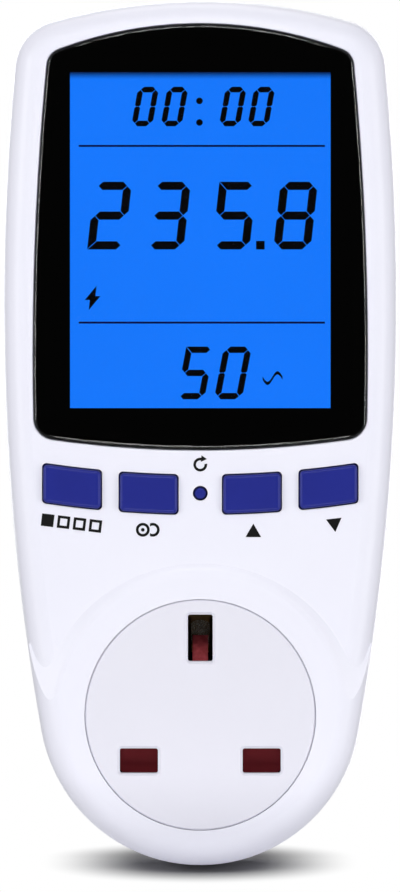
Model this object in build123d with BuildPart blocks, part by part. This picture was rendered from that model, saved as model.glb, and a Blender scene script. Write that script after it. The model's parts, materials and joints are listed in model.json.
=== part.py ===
from build123d import *
import os
from math import hypot, sqrt

# A plug-in electricity monitor: a display and four keys above a 13 A pass-through socket.
# Millimetres, +Z up, front towards -Y. The origin is on the plug face, in the middle of the
# pin pattern. A level is a distance forward of the plug face, towards the user.

# Housing outline, seen from the front
case_width = 71.8
case_bottom = -30.6
end_radius = 29.4
widest_height = 72.0
crown_radius = 100.0
top_corner_radius = 9.0
case_top_border = 4.3

# Housing section
case_depth = 39.4
face_radius = 600.0
front_edge_radius = 4.6
rear_edge_radius = 2.0
parting_level = 19.5
wall = 2.2
draft_angle = 1.5
step_depth = 5.0
step_start = 30.0
step_end = 38.0
lip_depth = 1.2
lip_gap = 0.1
seam_chamfer = 0.25
overrun = 5.0

# Raised round platform that surrounds the socket
platform_rise = 0.6
platform_radius = 26.3
platform_skirt = 4.0
platform_skirt_run = 7.2
platform_edge_radius = 2.4
socket_height = -2.8

# Screws that close the housing, from the back
housing_screw_top_border = 20.6
housing_screw_top_inset = 5.9
housing_screw_low = 18.0
housing_screw_low_inset = 6.0
housing_boss_radius = 2.8
housing_pilot_radius = 1.4
housing_screw_radius = 1.35
housing_screw_head_radius = 2.6
housing_screw_head_height = 2.2
housing_screw_length = 13.0
housing_screw_hole_radius = 1.6
housing_pilot_depth = 12.5
well_radius = 2.9
well_wall = 1.2
well_floor = 3.0
cross_width = 0.7
cross_length = 2.9
cross_depth = 1.1

# Window, its printed mask and the display opening
window_side_border = 5.6
window_widest_height = 62.0
window_side_radius = 560.0
window_top_radius = 73.0
window_bottom_radius = 192.0
window_top_corner = 3.3
window_bottom_corner = 4.0
window_gap = 0.12
window_recess = 0.1
window_back_level = 37.3
window_edge_radius = 0.8
mask_thickness = 0.15
mask_margin = 0.3
display_side_border = 6.75
display_top_border = 8.8
display_bottom_border = 7.6
display_height = 60.8
ledge_thickness = 1.15
ledge_rim = 1.6
ledge_reveal = 0.6

# Keys
key_count = 4
key_length = 6.9
key_row_border = 7.5
key_row_clearance = 10.1
key_row_radius = 193.0
key_corner = 0.8
key_pair_gap = 3.45
key_middle_gap = 8.3
key_window_gap = 4.6
key_gap = 0.25
key_rise = 0.9
key_edge_radius = 0.65
key_flange = 0.9
key_flange_thickness = 1.2
key_seat_level = 36.4
key_seat_margin = 2.0
key_play = 0.2
key_stem = 3.2
key_travel = 0.5
reset_lift = 0.25
reset_radius = 1.05
reset_hole_radius = 1.35
reset_flange_radius = 2.2
reset_recess = 0.3
reset_dome = 0.4

# Tact switches behind the keys
switch_size = 6.0
switch_height = 3.5
switch_base = 1.0
plunger_radius = 1.75
plunger_gap = 0.1
plunger_reach = 1.0

# Display board and its screws
board_thickness = 1.6
board_corner = 1.0
display_board_level = 27.8
display_board_side_margin = 2.25
display_board_top_margin = 7.9
display_board_key_margin = 5.3
display_board_cut = 4.0
display_screw_low_margin = 2.6
display_screw_top_margin = 2.5
display_screw_side_margin = 5.8
small_boss_radius = 2.2
small_pilot_radius = 1.0
small_pilot_depth = 4.6
small_screw_radius = 0.9
small_screw_length = 5.6
small_screw_head_radius = 1.9
small_screw_head_height = 1.3
small_hole_radius = 1.2

# Liquid crystal cell, backlight and their frame
glass_side_margin = 1.05
glass_top_margin = 1.5
glass_bottom_margin = 3.7
glass_thickness = 1.1
glass_ledge = 3.0
polariser_thickness = 0.2
polariser_margin = 0.4
guide_thickness = 2.8
guide_top_margin = 0.4
guide_bottom_margin = 0.1
reflector_thickness = 0.2
led_width = 2.8
led_height = 1.1
led_thickness = 2.0
led_pitch = 14.0
led_gap = 0.1
frame_wall = 0.9
frame_gap = 0.15
frame_lip = 0.8
frame_lip_reveal = 0.45
frame_bar = 0.8
zebra_height = 2.2
zebra_margin = 1.0

# Parts on the back of the display board
blob_radius = 6.0
blob_height = 1.6
blob_place = 80.0
header_width = 17.0
header_length = 5.0
header_height = 3.2
header_key_margin = 2.0
ribbon_width = 13.2
ribbon_thickness = 0.9
ribbon_drop = 1.5

# Power board and the parts on it
power_board_level = 10.0
power_board_width = 48.8
power_board_top = 98.0
power_board_bottom = 24.4
power_screw_low = 43.0
power_screw_top = 94.0
power_screw_offset = 21.5
power_post_radius = 2.4
film_capacitor_size = (18.0, 7.0)
film_capacitor_height = 13.0
film_capacitor_place = (-11.5, 61.5)
varistor_radius = 5.2
varistor_thickness = 3.8
varistor_place = (-11.5, 51.0)
lead_radius = 0.4
lead_height = 1.5
lead_pitch = 5.0
resistor_radius = 2.2
resistor_length = 11.0
resistor_neck = 1.9
resistor_place = (10.5, 52.0)
resistor_lead_pitch = 15.0
can_radius = 4.0
can_height = 11.5
can_groove = 0.35
can_groove_height = 1.6
can_place = (14.0, 62.5)
chip_size = (7.5, 10.3)
chip_thickness = 2.3
chip_standoff = 0.2
chip_leg_width = 0.5
chip_leg_reach = 1.3
chip_leg_pitch = 1.6
chip_place = (-3.0, 74.5)
crystal_size = (4.6, 11.0)
crystal_height = 3.6
crystal_place = (11.5, 75.0)
cell_radius = 5.8
cell_thickness = 5.4
cell_count = 3
cell_height = 88.0
cell_gap = 0.1
cradle_wall = 0.9
cradle_depth = 5.4

# Plug pins of the 13 A pattern
pin_pitch = 22.23
line_pin_width = 6.35
line_pin_thickness = 3.95
line_pin_length = 17.7
earth_pin_width = 3.95
earth_pin_height = 8.05
earth_pin_length = 22.73
sleeve_length = 9.5
sleeve_wall = 0.5
pin_edge_radius = 0.4
pin_tip_chamfer = 0.9
pin_hole_gap = 0.05
pin_flange_margin = 1.8
pin_flange_thickness = 3.0
tail_radius = 1.6
tail_gap = 0.1
rivet_radius = 2.5
rivet_height = 0.9

# Socket insert
insert_radius = 20.85
insert_gap = 0.1
insert_recess = 0.1
insert_thickness = 2.2
insert_chamfer = 0.25
insert_seat_level = 36.6
insert_flange_thickness = 1.4
insert_seat_rim = 1.0
line_aperture = (6.9, 4.5)
earth_aperture = (4.5, 8.5)
aperture_corner = 0.4
aperture_chamfer = 0.45
shroud_wall = 1.2
shroud_level = 35.3
skirt_wall = 1.0

# Contact carrier
carrier_radius = 23.6
carrier_wall = 1.2
carrier_floor = 2.2
carrier_front_level = 31.9
carrier_screw_side = (17.2, 6.0)
carrier_screw_low = -17.5
carrier_boss_radius = 2.6
line_well = (9.2, 8.0)
earth_well = (8.0, 10.6)
earth_well_front_level = 29.6
wire_slot_width = 6.6
wire_slot_start = 16.8
wire_slot_end = 23.2
sense_slot_width = 3.0
sense_slot_end = 10.8

# Spring contacts and the measuring shunt
strip = 0.7
strip_bend = 0.9
clip_spread = 3.2
clip_pinch = 2.0
clip_mouth = 3.0
clip_shoulder_level = 19.5
clip_pinch_level = 27.0
line_clip_level = 30.6
earth_clip_level = 29.2
line_clip_width = 6.0
earth_clip_width = 7.0
shunt_level = 13.4
shunt_width = 5.0
shunt_reach = 3.95
shunt_inset = 2.7
tab_width = 2.2
tab_level = 20.05
tab_reach = 6.2
live_tab_offset = -1.7
sense_tab_offset = 2.0

# Wires from the contacts to the power board
wire_radius = 0.8
wire_bend = 4.0
wire_joint_height = 30.0
sense_wire_level = 8.45
sense_wire_bend = 2.2
sense_wire_clear_level = 15.0
sense_wire_turn_low = 16.6
sense_wire_turn_high = 21.8

# Safety shutter and its spring
shutter_level = 32.4
shutter_thickness = 2.6
shutter_travel = 5.0
shutter_gap = 0.25
shield_overlap = 0.25
shield_corner = 1.2
stem_width = 6.4
stem_top = 4.0
crossbar_top = -6.5
crossbar_width = 14.0
ramp_width = 2.8
ramp_foot = 3.0
ramp_front_level = 35.2
ramp_back_level = 30.4
ramp_low = 6.4
ramp_land = 0.3
rail_top = 3.0
rail_bottom = -5.5
spring_slot_width = 3.6
spring_slot_top = -8.6
spring_seat_clearance = 2.9
spring_seat_width = 5.0
spring_radius = 1.2
spring_wire_radius = 0.18
spring_turns = 8
spring_level = 33.7

# Heights that stack up from the socket to the top of the housing
key_row_bottom = socket_height + platform_radius + key_row_clearance
key_row_top = key_row_bottom + key_length
key_row_middle = (key_row_bottom + key_row_top) / 2
reset_height = key_row_middle + reset_lift
window_bottom = key_row_top + key_window_gap
display_bottom = window_bottom + display_bottom_border
display_middle = display_bottom + display_height / 2
display_top = display_bottom + display_height
window_top = display_top + display_top_border
case_top = window_top + case_top_border
glass_top = display_top + glass_top_margin
glass_bottom = display_bottom - glass_bottom_margin
guide_top = display_top + guide_top_margin
guide_bottom = display_bottom - guide_bottom_margin
display_board_top = display_top + display_board_top_margin
display_board_bottom = key_row_bottom - display_board_key_margin
display_screw_top = display_board_top - display_screw_top_margin
display_screw_low = display_board_bottom + display_screw_low_margin
header_place = key_row_top + header_key_margin

# Widths that follow the width of the housing
window_width = case_width - window_side_border - window_side_border
display_width = window_width - display_side_border - display_side_border
glass_width = display_width + glass_side_margin + glass_side_margin
display_board_width = display_width + display_board_side_margin + display_board_side_margin
display_screw_top_offset = display_board_width / 2 - display_screw_side_margin
key_row_width = case_width - key_row_border - key_row_border
key_width = (key_row_width - key_pair_gap - key_pair_gap - key_middle_gap) / key_count
outer_key_offset = (key_row_width - key_width) / 2
inner_key_offset = (key_middle_gap + key_width) / 2
display_screw_low_offset = (inner_key_offset + outer_key_offset) / 2

# Sides of the housing: bows that run into the round lower end
end_height = case_bottom + end_radius
end_rise = widest_height - end_height
side_sum = (case_width / 2) ** 2 + end_rise**2 - end_radius**2
side_radius = side_sum / (case_width - end_radius - end_radius)
side_centre = side_radius - case_width / 2
tangent_share = end_rise / hypot(side_centre, end_rise)


def side_offset(height):
    """Half of the housing's width at a height."""
    return sqrt(side_radius**2 - (height - widest_height) ** 2) - side_centre


housing_screw_top = case_top - housing_screw_top_border
housing_screw_top_offset = side_offset(housing_screw_top) - housing_screw_top_inset
housing_screw_low_offset = side_offset(housing_screw_low) - housing_screw_low_inset

# Other values worked out from those above
line_height = -pin_pitch / 2
earth_height = pin_pitch / 2
line_offset = pin_pitch / 2
platform_level = case_depth + platform_rise
insert_front_level = platform_level - insert_recess
insert_flange_level = insert_seat_level - insert_flange_thickness
ledge_front_level = window_back_level - mask_thickness
ledge_back_level = ledge_front_level - ledge_thickness
display_face = display_board_level + board_thickness
plunger_level = display_face + switch_height + plunger_reach
plunger_foot_level = display_face + switch_base + key_travel + plunger_gap
power_face = power_board_level + board_thickness
upper_floor_level = step_depth + wall
key_flange_top = key_seat_level - key_play
key_flange_back = key_flange_top - key_flange_thickness
carrier_back_level = wall + pin_flange_thickness
carrier_floor_level = carrier_back_level + carrier_floor
glass_middle = (glass_top + glass_bottom) / 2
glass_height = glass_top - glass_bottom
guide_level = display_face + reflector_thickness
rear_polariser_level = guide_level + guide_thickness
rear_glass_level = rear_polariser_level + polariser_thickness
front_glass_level = rear_glass_level + glass_thickness
front_polariser_level = front_glass_level + glass_thickness
frame_lip_level = front_polariser_level + polariser_thickness
shield_height = line_aperture[1] + shield_overlap + shield_overlap
shield_width = line_aperture[0] + shield_overlap + shield_overlap + shield_overlap
shutter_bottom = line_height - shield_height / 2
ramp_high = ramp_low + shutter_travel
spring_seat_top = shutter_bottom - shutter_travel - spring_seat_clearance
housing_screws_at = [
    (-housing_screw_top_offset, housing_screw_top),
    (housing_screw_top_offset, housing_screw_top),
    (-housing_screw_low_offset, housing_screw_low),
    (housing_screw_low_offset, housing_screw_low),
]
display_screws_at = [
    (-display_screw_top_offset, display_screw_top),
    (display_screw_top_offset, display_screw_top),
    (-display_screw_low_offset, display_screw_low),
    (display_screw_low_offset, display_screw_low),
]
power_screws_at = [
    (-power_screw_offset, power_screw_top),
    (power_screw_offset, power_screw_top),
    (-power_screw_offset, power_screw_low),
    (power_screw_offset, power_screw_low),
]
carrier_screws_at = [
    (-carrier_screw_side[0], carrier_screw_side[1]),
    carrier_screw_side,
    (0, carrier_screw_low),
]
key_offsets = {
    "function": -outer_key_offset,
    "cost": -inner_key_offset,
    "up": inner_key_offset,
    "down": outer_key_offset,
}
pins_at = {
    "live": (line_offset, line_height),
    "neutral": (-line_offset, line_height),
    "earth": (0, earth_height),
}


def level(distance):
    """Sketch plane that faces the user, a distance forward of the plug face."""
    return Plane.XZ.offset(distance)


def box_outline(at, width, height, corner=0):
    """Rectangle in the front view, with rounded corners if a radius is given."""
    with BuildSketch() as outline:
        with Locations(at):
            Rectangle(width, height)
        if corner:
            fillet(outline.vertices(), corner)
    return outline.sketch


def disc_outline(at, radius):
    """Circle in the front view."""
    with BuildSketch() as outline:
        with Locations(at):
            Circle(radius)
    return outline.sketch


def slab(outline, start, end, mode=Mode.ADD):
    """Body of a front view outline between two levels, in the part being built."""
    extrude(level(start) * outline, amount=end - start, mode=mode)


def peg(at, radius, start, end, mode=Mode.ADD):
    """Round body or hole between two levels."""
    slab(disc_outline(at, radius), start, end, mode)


def finish(piece, name):
    """Label a finished piece and write it out."""
    piece.part.label = name
    export_step(piece.part, f"parts/{name}.step")


def case_outline(inset=0):
    """Housing outline: bowed sides, a shallow crown and a round lower end."""
    tangent_height = widest_height - (side_radius - inset) * tangent_share
    with BuildSketch() as outline:
        with Locations((-side_centre, widest_height)):
            Circle(side_radius - inset)
        with Locations((side_centre, widest_height)):
            Circle(side_radius - inset, mode=Mode.INTERSECT)
        with Locations((0, case_top - crown_radius)):
            Circle(crown_radius - inset, mode=Mode.INTERSECT)
        with Locations((0, tangent_height)):
            Rectangle(
                case_width,
                case_top - case_bottom,
                align=(Align.CENTER, Align.MIN),
                mode=Mode.INTERSECT,
            )
        fillet(outline.vertices().group_by(Axis.Y)[-1], top_corner_radius - inset)
        with Locations((0, end_height)):
            Circle(end_radius - inset)
    return outline.sketch


def lip_outline(outer_gap, inner_gap):
    """Ring along the housing wall for the lip, or for the rebate that takes it."""
    with BuildSketch() as outline:
        add(case_outline(wall / 2 + outer_gap))
        add(case_outline(wall + inner_gap), mode=Mode.SUBTRACT)
    return outline.sketch


def window_outline(inset=0):
    """Window outline: it follows the housing, with a bowed lower edge."""
    centre = window_side_radius - window_width / 2
    with BuildSketch() as outline:
        with Locations((-centre, window_widest_height)):
            Circle(window_side_radius - inset)
        with Locations((centre, window_widest_height)):
            Circle(window_side_radius - inset, mode=Mode.INTERSECT)
        with Locations((0, window_top - window_top_radius)):
            Circle(window_top_radius - inset, mode=Mode.INTERSECT)
        with Locations((0, window_bottom + window_bottom_radius)):
            Circle(window_bottom_radius - inset, mode=Mode.INTERSECT)
        corners = outline.vertices().group_by(Axis.Y)
        fillet(corners[-1], window_top_corner - inset)
        corners = outline.vertices().group_by(Axis.Y)
        fillet(corners[0], window_bottom_corner - inset)
    return outline.sketch


def key_outline(offset_x, growth=0):
    """Key outline: upright sides, with the sagging upper and lower edges of the key row."""
    with BuildSketch() as outline:
        with Locations((offset_x, key_row_bottom - overrun)):
            Rectangle(
                key_width + 2 * growth,
                key_row_radius,
                align=(Align.CENTER, Align.MIN),
            )
        with Locations((0, key_row_bottom - growth + key_row_radius)):
            Circle(key_row_radius, mode=Mode.INTERSECT)
        with Locations((0, key_row_top + growth + key_row_radius)):
            Circle(key_row_radius, mode=Mode.SUBTRACT)
        fillet(outline.vertices(), key_corner)
    return outline.sketch


def key_height(offset_x):
    """Height of the middle of a key above the origin."""
    sag = key_row_radius - sqrt(key_row_radius**2 - offset_x**2)
    return key_row_middle + sag


def crown(depth, mode=Mode.INTERSECT):
    """Trim the part being built to the gently curved front, at a depth in its middle."""
    inset = case_depth - depth
    with Locations((0, face_radius - case_depth, widest_height)):
        Cylinder(face_radius - inset, case_top + case_top + overrun, mode=mode)


def front_form(inset=0, rise=0):
    """Outer or inner form of the front half, from the parting plane forward."""
    depth = case_depth - inset + rise
    with BuildPart() as form:
        with BuildSketch(level(parting_level)):
            add(case_outline(inset))
        if rise:
            extrude(amount=depth - parting_level, taper=draft_angle)
        else:
            extrude(amount=depth - parting_level + overrun, taper=draft_angle)
            crown(depth)
        fillet(form.faces().sort_by(Axis.Y)[0].edges(), front_edge_radius - inset)
        if not inset and not rise:
            chamfer(form.faces().sort_by(Axis.Y)[-1].edges(), seam_chamfer)
    return form.part


def rear_form(inset=0):
    """Outer or inner form of the rear half, with the stepped back behind the display."""
    with BuildPart() as form:
        with BuildSketch(level(parting_level)):
            add(case_outline(inset))
        extrude(amount=inset - parting_level, taper=draft_angle)
        with BuildSketch(Plane.YZ):
            with BuildLine():
                Polyline(
                    (-parting_level, case_bottom - overrun),
                    (-inset, case_bottom - overrun),
                    (-inset, step_start),
                    (-inset - step_depth, step_end),
                    (-inset - step_depth, case_top + overrun),
                    (-parting_level, case_top + overrun),
                    close=True,
                )
            make_face()
        extrude(amount=case_width, both=True, mode=Mode.INTERSECT)
        if not inset:
            fillet(form.edges().group_by(Axis.Y)[1:], rear_edge_radius)
            chamfer(form.faces().sort_by(Axis.Y)[0].edges(), seam_chamfer)
    return form.part


def screw(at, head_level, forward, radius, length, head_radius, head_height):
    """Pan head screw whose head bears at a level; forward is 1 or -1 along the shank."""
    peg(at, radius, head_level, head_level + forward * length)
    peg(at, head_radius, head_level - forward * head_height, head_level)


os.makedirs("parts", exist_ok=True)

# Front cover: crowned shell with window rebate, key openings and socket hole
skirt_radius = platform_radius + platform_skirt_run
skirt_level = platform_level - platform_skirt
with BuildPart() as platform:
    with BuildSketch(level(skirt_level)):
        with Locations((0, socket_height)):
            Circle(skirt_radius)
    with BuildSketch(level(platform_level)):
        with Locations((0, socket_height)):
            Circle(platform_radius)
    loft()
    with BuildSketch(Plane.XY.offset(socket_height)):
        with BuildLine():
            Polyline(
                (-platform_radius, -platform_level),
                (platform_radius, -platform_level),
                (skirt_radius, -skirt_level),
                (-skirt_radius, -skirt_level),
                close=True,
            )
        make_face()
    extrude(amount=-platform_radius - platform_radius)
    fillet(platform.faces().sort_by(Axis.Y)[0].edges(), platform_edge_radius)

with BuildPart() as raised_front:
    add(front_form(rise=platform_rise))
    add(platform.part, mode=Mode.INTERSECT)

with BuildPart() as front_cavity:
    add(front_form(wall))
    slab(window_outline(-ledge_rim), ledge_back_level, case_depth, Mode.SUBTRACT)
    seat_width = outer_key_offset + outer_key_offset + key_width + key_seat_margin + key_seat_margin
    seat_low = key_row_bottom - key_seat_margin
    slab(
        box_outline((0, (seat_low + window_bottom) / 2), seat_width, window_bottom - seat_low),
        key_seat_level,
        case_depth,
        Mode.SUBTRACT,
    )
    socket_seat_reach = carrier_radius + insert_seat_rim
    socket_seat_top = socket_height + socket_seat_reach
    slab(
        box_outline(
            (0, (socket_seat_top + case_bottom) / 2),
            socket_seat_reach + socket_seat_reach,
            socket_seat_top - case_bottom,
        ),
        insert_seat_level,
        case_depth,
        Mode.SUBTRACT,
    )
    for place in housing_screws_at:
        peg(place, housing_boss_radius, parting_level, case_depth, Mode.SUBTRACT)
    for place in display_screws_at:
        peg(place, small_boss_radius, display_face, case_depth, Mode.SUBTRACT)

with BuildPart() as front_cover:
    add(front_form())
    add(raised_front.part)
    add(front_cavity.part, mode=Mode.SUBTRACT)
    slab(lip_outline(lip_gap / 2, 0), parting_level - lip_depth, parting_level + lip_depth)
    for place in housing_screws_at:
        peg(
            place,
            housing_pilot_radius,
            parting_level,
            parting_level + housing_pilot_depth,
            Mode.SUBTRACT,
        )
    for place in display_screws_at:
        peg(
            place,
            small_pilot_radius,
            display_face,
            display_face + small_pilot_depth,
            Mode.SUBTRACT,
        )
    slab(window_outline(-window_gap), ledge_front_level, case_depth + overrun, Mode.SUBTRACT)
    slab(
        box_outline(
            (0, display_middle),
            display_width + ledge_reveal + ledge_reveal,
            display_height + ledge_reveal + ledge_reveal,
        ),
        ledge_back_level,
        case_depth,
        Mode.SUBTRACT,
    )
    for offset_x in key_offsets.values():
        slab(
            key_outline(offset_x, key_gap),
            key_flange_back,
            case_depth + overrun,
            Mode.SUBTRACT,
        )
    peg((0, reset_height), reset_hole_radius, key_flange_back, case_depth + overrun, Mode.SUBTRACT)
    peg(
        (0, socket_height),
        insert_radius + insert_gap,
        insert_flange_level,
        case_depth + overrun,
        Mode.SUBTRACT,
    )
finish(front_cover, "front_cover")

# Rear cover: plug face with pin holes, screw wells, board posts and carrier bosses
with BuildPart() as rear_cover:
    add(rear_form())
    add(rear_form(wall), mode=Mode.SUBTRACT)
    for place in housing_screws_at:
        well_start = step_depth if place[1] > step_end else 0
        peg(place, well_radius + well_wall, well_start + wall / 2, parting_level)
        peg(place, well_radius, well_start, parting_level - well_floor, Mode.SUBTRACT)
        peg(place, housing_screw_hole_radius, well_start, parting_level, Mode.SUBTRACT)
    slab(
        lip_outline(-lip_gap / 2, lip_gap),
        parting_level - lip_depth - lip_gap,
        parting_level,
        Mode.SUBTRACT,
    )
    for place in power_screws_at:
        peg(place, power_post_radius, step_depth, power_board_level)
        peg(
            place,
            small_pilot_radius,
            power_board_level - small_pilot_depth + wall / 2,
            power_board_level,
            Mode.SUBTRACT,
        )
    for place in carrier_screws_at:
        peg(place, carrier_boss_radius, 0, carrier_back_level)
        peg(place, small_pilot_radius, wall / 2, carrier_back_level, Mode.SUBTRACT)
    for name, place in pins_at.items():
        if name == "earth":
            hole = (earth_pin_width, earth_pin_height)
        else:
            hole = (line_pin_width, line_pin_thickness)
        slab(
            box_outline(
                place,
                hole[0] + pin_hole_gap + pin_hole_gap,
                hole[1] + pin_hole_gap + pin_hole_gap,
                pin_edge_radius,
            ),
            0,
            wall,
            Mode.SUBTRACT,
        )
finish(rear_cover, "rear_cover")

# Clear window with its rounded edge, and the black print behind it
with BuildPart() as display_window:
    slab(window_outline(), window_back_level, case_depth + overrun)
    crown(case_depth - window_recess)
    fillet(display_window.faces().sort_by(Axis.Y)[0].edges(), window_edge_radius)
finish(display_window, "display_window")

with BuildPart() as window_mask:
    slab(window_outline(mask_margin), ledge_front_level, window_back_level)
    slab(
        box_outline((0, display_middle), display_width, display_height),
        ledge_front_level,
        window_back_level,
        Mode.SUBTRACT,
    )
finish(window_mask, "window_mask")

# Four keys, each with a retaining flange and a stem that bears on its switch
for name, offset_x in key_offsets.items():
    with BuildPart() as key:
        slab(key_outline(offset_x), key_flange_back, case_depth + key_rise + overrun)
        crown(case_depth + key_rise)
        fillet(key.faces().sort_by(Axis.Y)[0].edges(), key_edge_radius)
        slab(key_outline(offset_x, key_flange), key_flange_back, key_flange_top)
        slab(
            box_outline((offset_x, key_height(offset_x)), key_stem, key_stem),
            plunger_level,
            key_flange_back,
        )
    finish(key, f"{name}_button")

# Reset key: a round pin, a little below the surface
with BuildPart() as reset_button:
    peg((0, reset_height), reset_radius, key_flange_back, case_depth - reset_recess)
    fillet(reset_button.faces().sort_by(Axis.Y)[0].edges(), reset_dome)
    peg((0, reset_height), reset_flange_radius, key_flange_back, key_flange_top)
    slab(box_outline((0, reset_height), key_stem, key_stem), plunger_level, key_flange_back)
finish(reset_button, "reset_button")

# Tact switches: one body and one moving plunger behind each key
switches_at = {name: (x, key_height(x)) for name, x in key_offsets.items()}
switches_at["reset"] = (0, reset_height)
with BuildPart() as key_switches:
    for place in switches_at.values():
        slab(
            box_outline(place, switch_size, switch_size, key_corner),
            display_face,
            display_face + switch_height,
        )
        peg(
            place,
            plunger_radius + plunger_gap,
            display_face + switch_base,
            display_face + switch_height,
            Mode.SUBTRACT,
        )
finish(key_switches, "key_switches")

for name, place in switches_at.items():
    with BuildPart() as plunger:
        peg(place, plunger_radius, plunger_foot_level, plunger_level)
    finish(plunger, f"{name}_plunger")

# Display board, clear of the housing bosses
with BuildPart() as display_board:
    board_middle = (display_board_top + display_board_bottom) / 2
    board_height = display_board_top - display_board_bottom
    with BuildSketch(level(display_board_level)) as board_shape:
        with Locations((0, board_middle)):
            Rectangle(display_board_width, board_height)
        chamfer(board_shape.vertices().group_by(Axis.Y)[-1], display_board_cut)
        fillet(board_shape.vertices().group_by(Axis.Y)[0], board_corner)
        with Locations(*display_screws_at):
            Circle(small_hole_radius, mode=Mode.SUBTRACT)
    extrude(amount=board_thickness)
finish(display_board, "display_board")

with BuildPart() as display_board_screws:
    for place in display_screws_at:
        screw(
            place,
            display_board_level,
            1,
            small_screw_radius,
            small_screw_length,
            small_screw_head_radius,
            small_screw_head_height,
        )
finish(display_board_screws, "display_board_screws")

# Liquid crystal cell: two glasses, the front one with a ledge for the connector
with BuildPart() as lcd_front_glass:
    slab(
        box_outline((0, glass_middle), glass_width, glass_height),
        front_glass_level,
        front_polariser_level,
    )
finish(lcd_front_glass, "lcd_front_glass")

with BuildPart() as lcd_rear_glass:
    slab(
        box_outline(
            (0, glass_middle + glass_ledge / 2),
            glass_width,
            glass_height - glass_ledge,
        ),
        rear_glass_level,
        front_glass_level,
    )
finish(lcd_rear_glass, "lcd_rear_glass")

polariser = box_outline(
    (0, glass_middle + glass_ledge / 2),
    glass_width - polariser_margin - polariser_margin,
    glass_height - glass_ledge - polariser_margin - polariser_margin,
)
with BuildPart() as front_polariser:
    slab(polariser, front_polariser_level, frame_lip_level)
finish(front_polariser, "front_polariser")

with BuildPart() as rear_polariser:
    slab(polariser, rear_polariser_level, rear_glass_level)
finish(rear_polariser, "rear_polariser")

# Backlight: light guide, reflector film and a row of side emitters
guide_middle = (guide_top + guide_bottom) / 2
guide = box_outline((0, guide_middle), glass_width, guide_top - guide_bottom)
with BuildPart() as backlight_guide:
    slab(guide, guide_level, rear_polariser_level)
finish(backlight_guide, "backlight_guide")

with BuildPart() as backlight_reflector:
    slab(guide, display_face, guide_level)
finish(backlight_reflector, "backlight_reflector")

with BuildPart() as backlight_leds:
    for step in (-1, 0, 1):
        slab(
            box_outline(
                (step * led_pitch, guide_top + led_gap + led_height / 2),
                led_width,
                led_height,
            ),
            display_face,
            display_face + led_thickness,
        )
finish(backlight_leds, "backlight_leds")

# Frame that holds the cell and the backlight down on the display board
frame_inner_width = glass_width + frame_gap + frame_gap
frame_inner_height = glass_height + frame_gap + frame_gap
with BuildPart() as lcd_frame:
    slab(
        box_outline(
            (0, glass_middle),
            frame_inner_width + frame_wall + frame_wall,
            frame_inner_height + frame_wall + frame_wall,
            frame_wall,
        ),
        display_face,
        frame_lip_level + frame_lip,
    )
    slab(
        box_outline((0, glass_middle), frame_inner_width, frame_inner_height),
        display_face,
        frame_lip_level,
        Mode.SUBTRACT,
    )
    slab(
        box_outline(
            (0, display_middle),
            display_width + frame_lip_reveal + ledge_reveal,
            display_height + frame_lip_reveal + ledge_reveal,
        ),
        frame_lip_level,
        frame_lip_level + frame_lip,
        Mode.SUBTRACT,
    )
    slab(
        box_outline(
            (0, guide_bottom - frame_bar / 2),
            frame_inner_width,
            frame_bar,
        ),
        display_face,
        rear_polariser_level,
    )
finish(lcd_frame, "lcd_frame")

with BuildPart() as zebra_connector:
    slab(
        box_outline(
            (0, glass_bottom + zebra_height / 2),
            glass_width - zebra_margin - zebra_margin,
            zebra_height,
        ),
        display_face,
        front_glass_level,
    )
finish(zebra_connector, "zebra_connector")

# Controller under its moulded blob, on the back of the display board
with BuildPart() as controller_blob:
    blob_sphere = (blob_radius**2 + blob_height**2) / (2 * blob_height)
    blob_base = display_board_level - blob_height + blob_sphere
    with Locations((0, -blob_base, blob_place)):
        Sphere(blob_sphere)
    slab(
        box_outline((0, blob_place), blob_radius + blob_radius, blob_radius + blob_radius),
        display_board_level - blob_height,
        display_board_level,
        Mode.INTERSECT,
    )
finish(controller_blob, "controller_blob")

# Headers and the ribbon cable that loops between the two boards
header = box_outline((0, header_place), header_width, header_length)
with BuildPart() as display_header:
    slab(header, display_board_level - header_height, display_board_level)
finish(display_header, "display_header")

with BuildPart() as power_header:
    slab(header, power_face, power_face + header_height)
finish(power_header, "power_header")

ribbon_start = display_board_level - header_height / 2
ribbon_end = power_face + header_height / 2
ribbon_top = header_place - header_length / 2
ribbon_turn = ribbon_top - ribbon_drop
with BuildPart() as ribbon_cable:
    with BuildSketch(Plane.YZ):
        with BuildLine():
            Line((-ribbon_start, ribbon_top), (-ribbon_start, ribbon_turn))
            RadiusArc(
                (-ribbon_start, ribbon_turn),
                (-ribbon_end, ribbon_turn),
                (ribbon_end - ribbon_start) / 2,
            )
            Line((-ribbon_end, ribbon_turn), (-ribbon_end, ribbon_top))
        trace(line_width=ribbon_thickness)
    extrude(amount=ribbon_width / 2, both=True)
finish(ribbon_cable, "ribbon_cable")

# Power board and the parts that stand on it
with BuildPart() as power_board:
    with BuildSketch(level(power_board_level)) as board_shape:
        with Locations((0, (power_board_top + power_board_bottom) / 2)):
            Rectangle(power_board_width, power_board_top - power_board_bottom)
        fillet(board_shape.vertices(), board_corner)
        with Locations(*power_screws_at):
            Circle(small_hole_radius, mode=Mode.SUBTRACT)
    extrude(amount=board_thickness)
finish(power_board, "power_board")

with BuildPart() as power_board_screws:
    for place in power_screws_at:
        screw(
            place,
            power_face,
            -1,
            small_screw_radius,
            small_screw_length - board_thickness,
            small_screw_head_radius,
            small_screw_head_height,
        )
finish(power_board_screws, "power_board_screws")

with BuildPart() as x2_capacitor:
    slab(
        box_outline(film_capacitor_place, *film_capacitor_size),
        power_face,
        power_face + film_capacitor_height,
    )
    fillet(x2_capacitor.faces().sort_by(Axis.Y)[0].edges(), board_corner / 2)
finish(x2_capacitor, "x2_capacitor")

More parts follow.
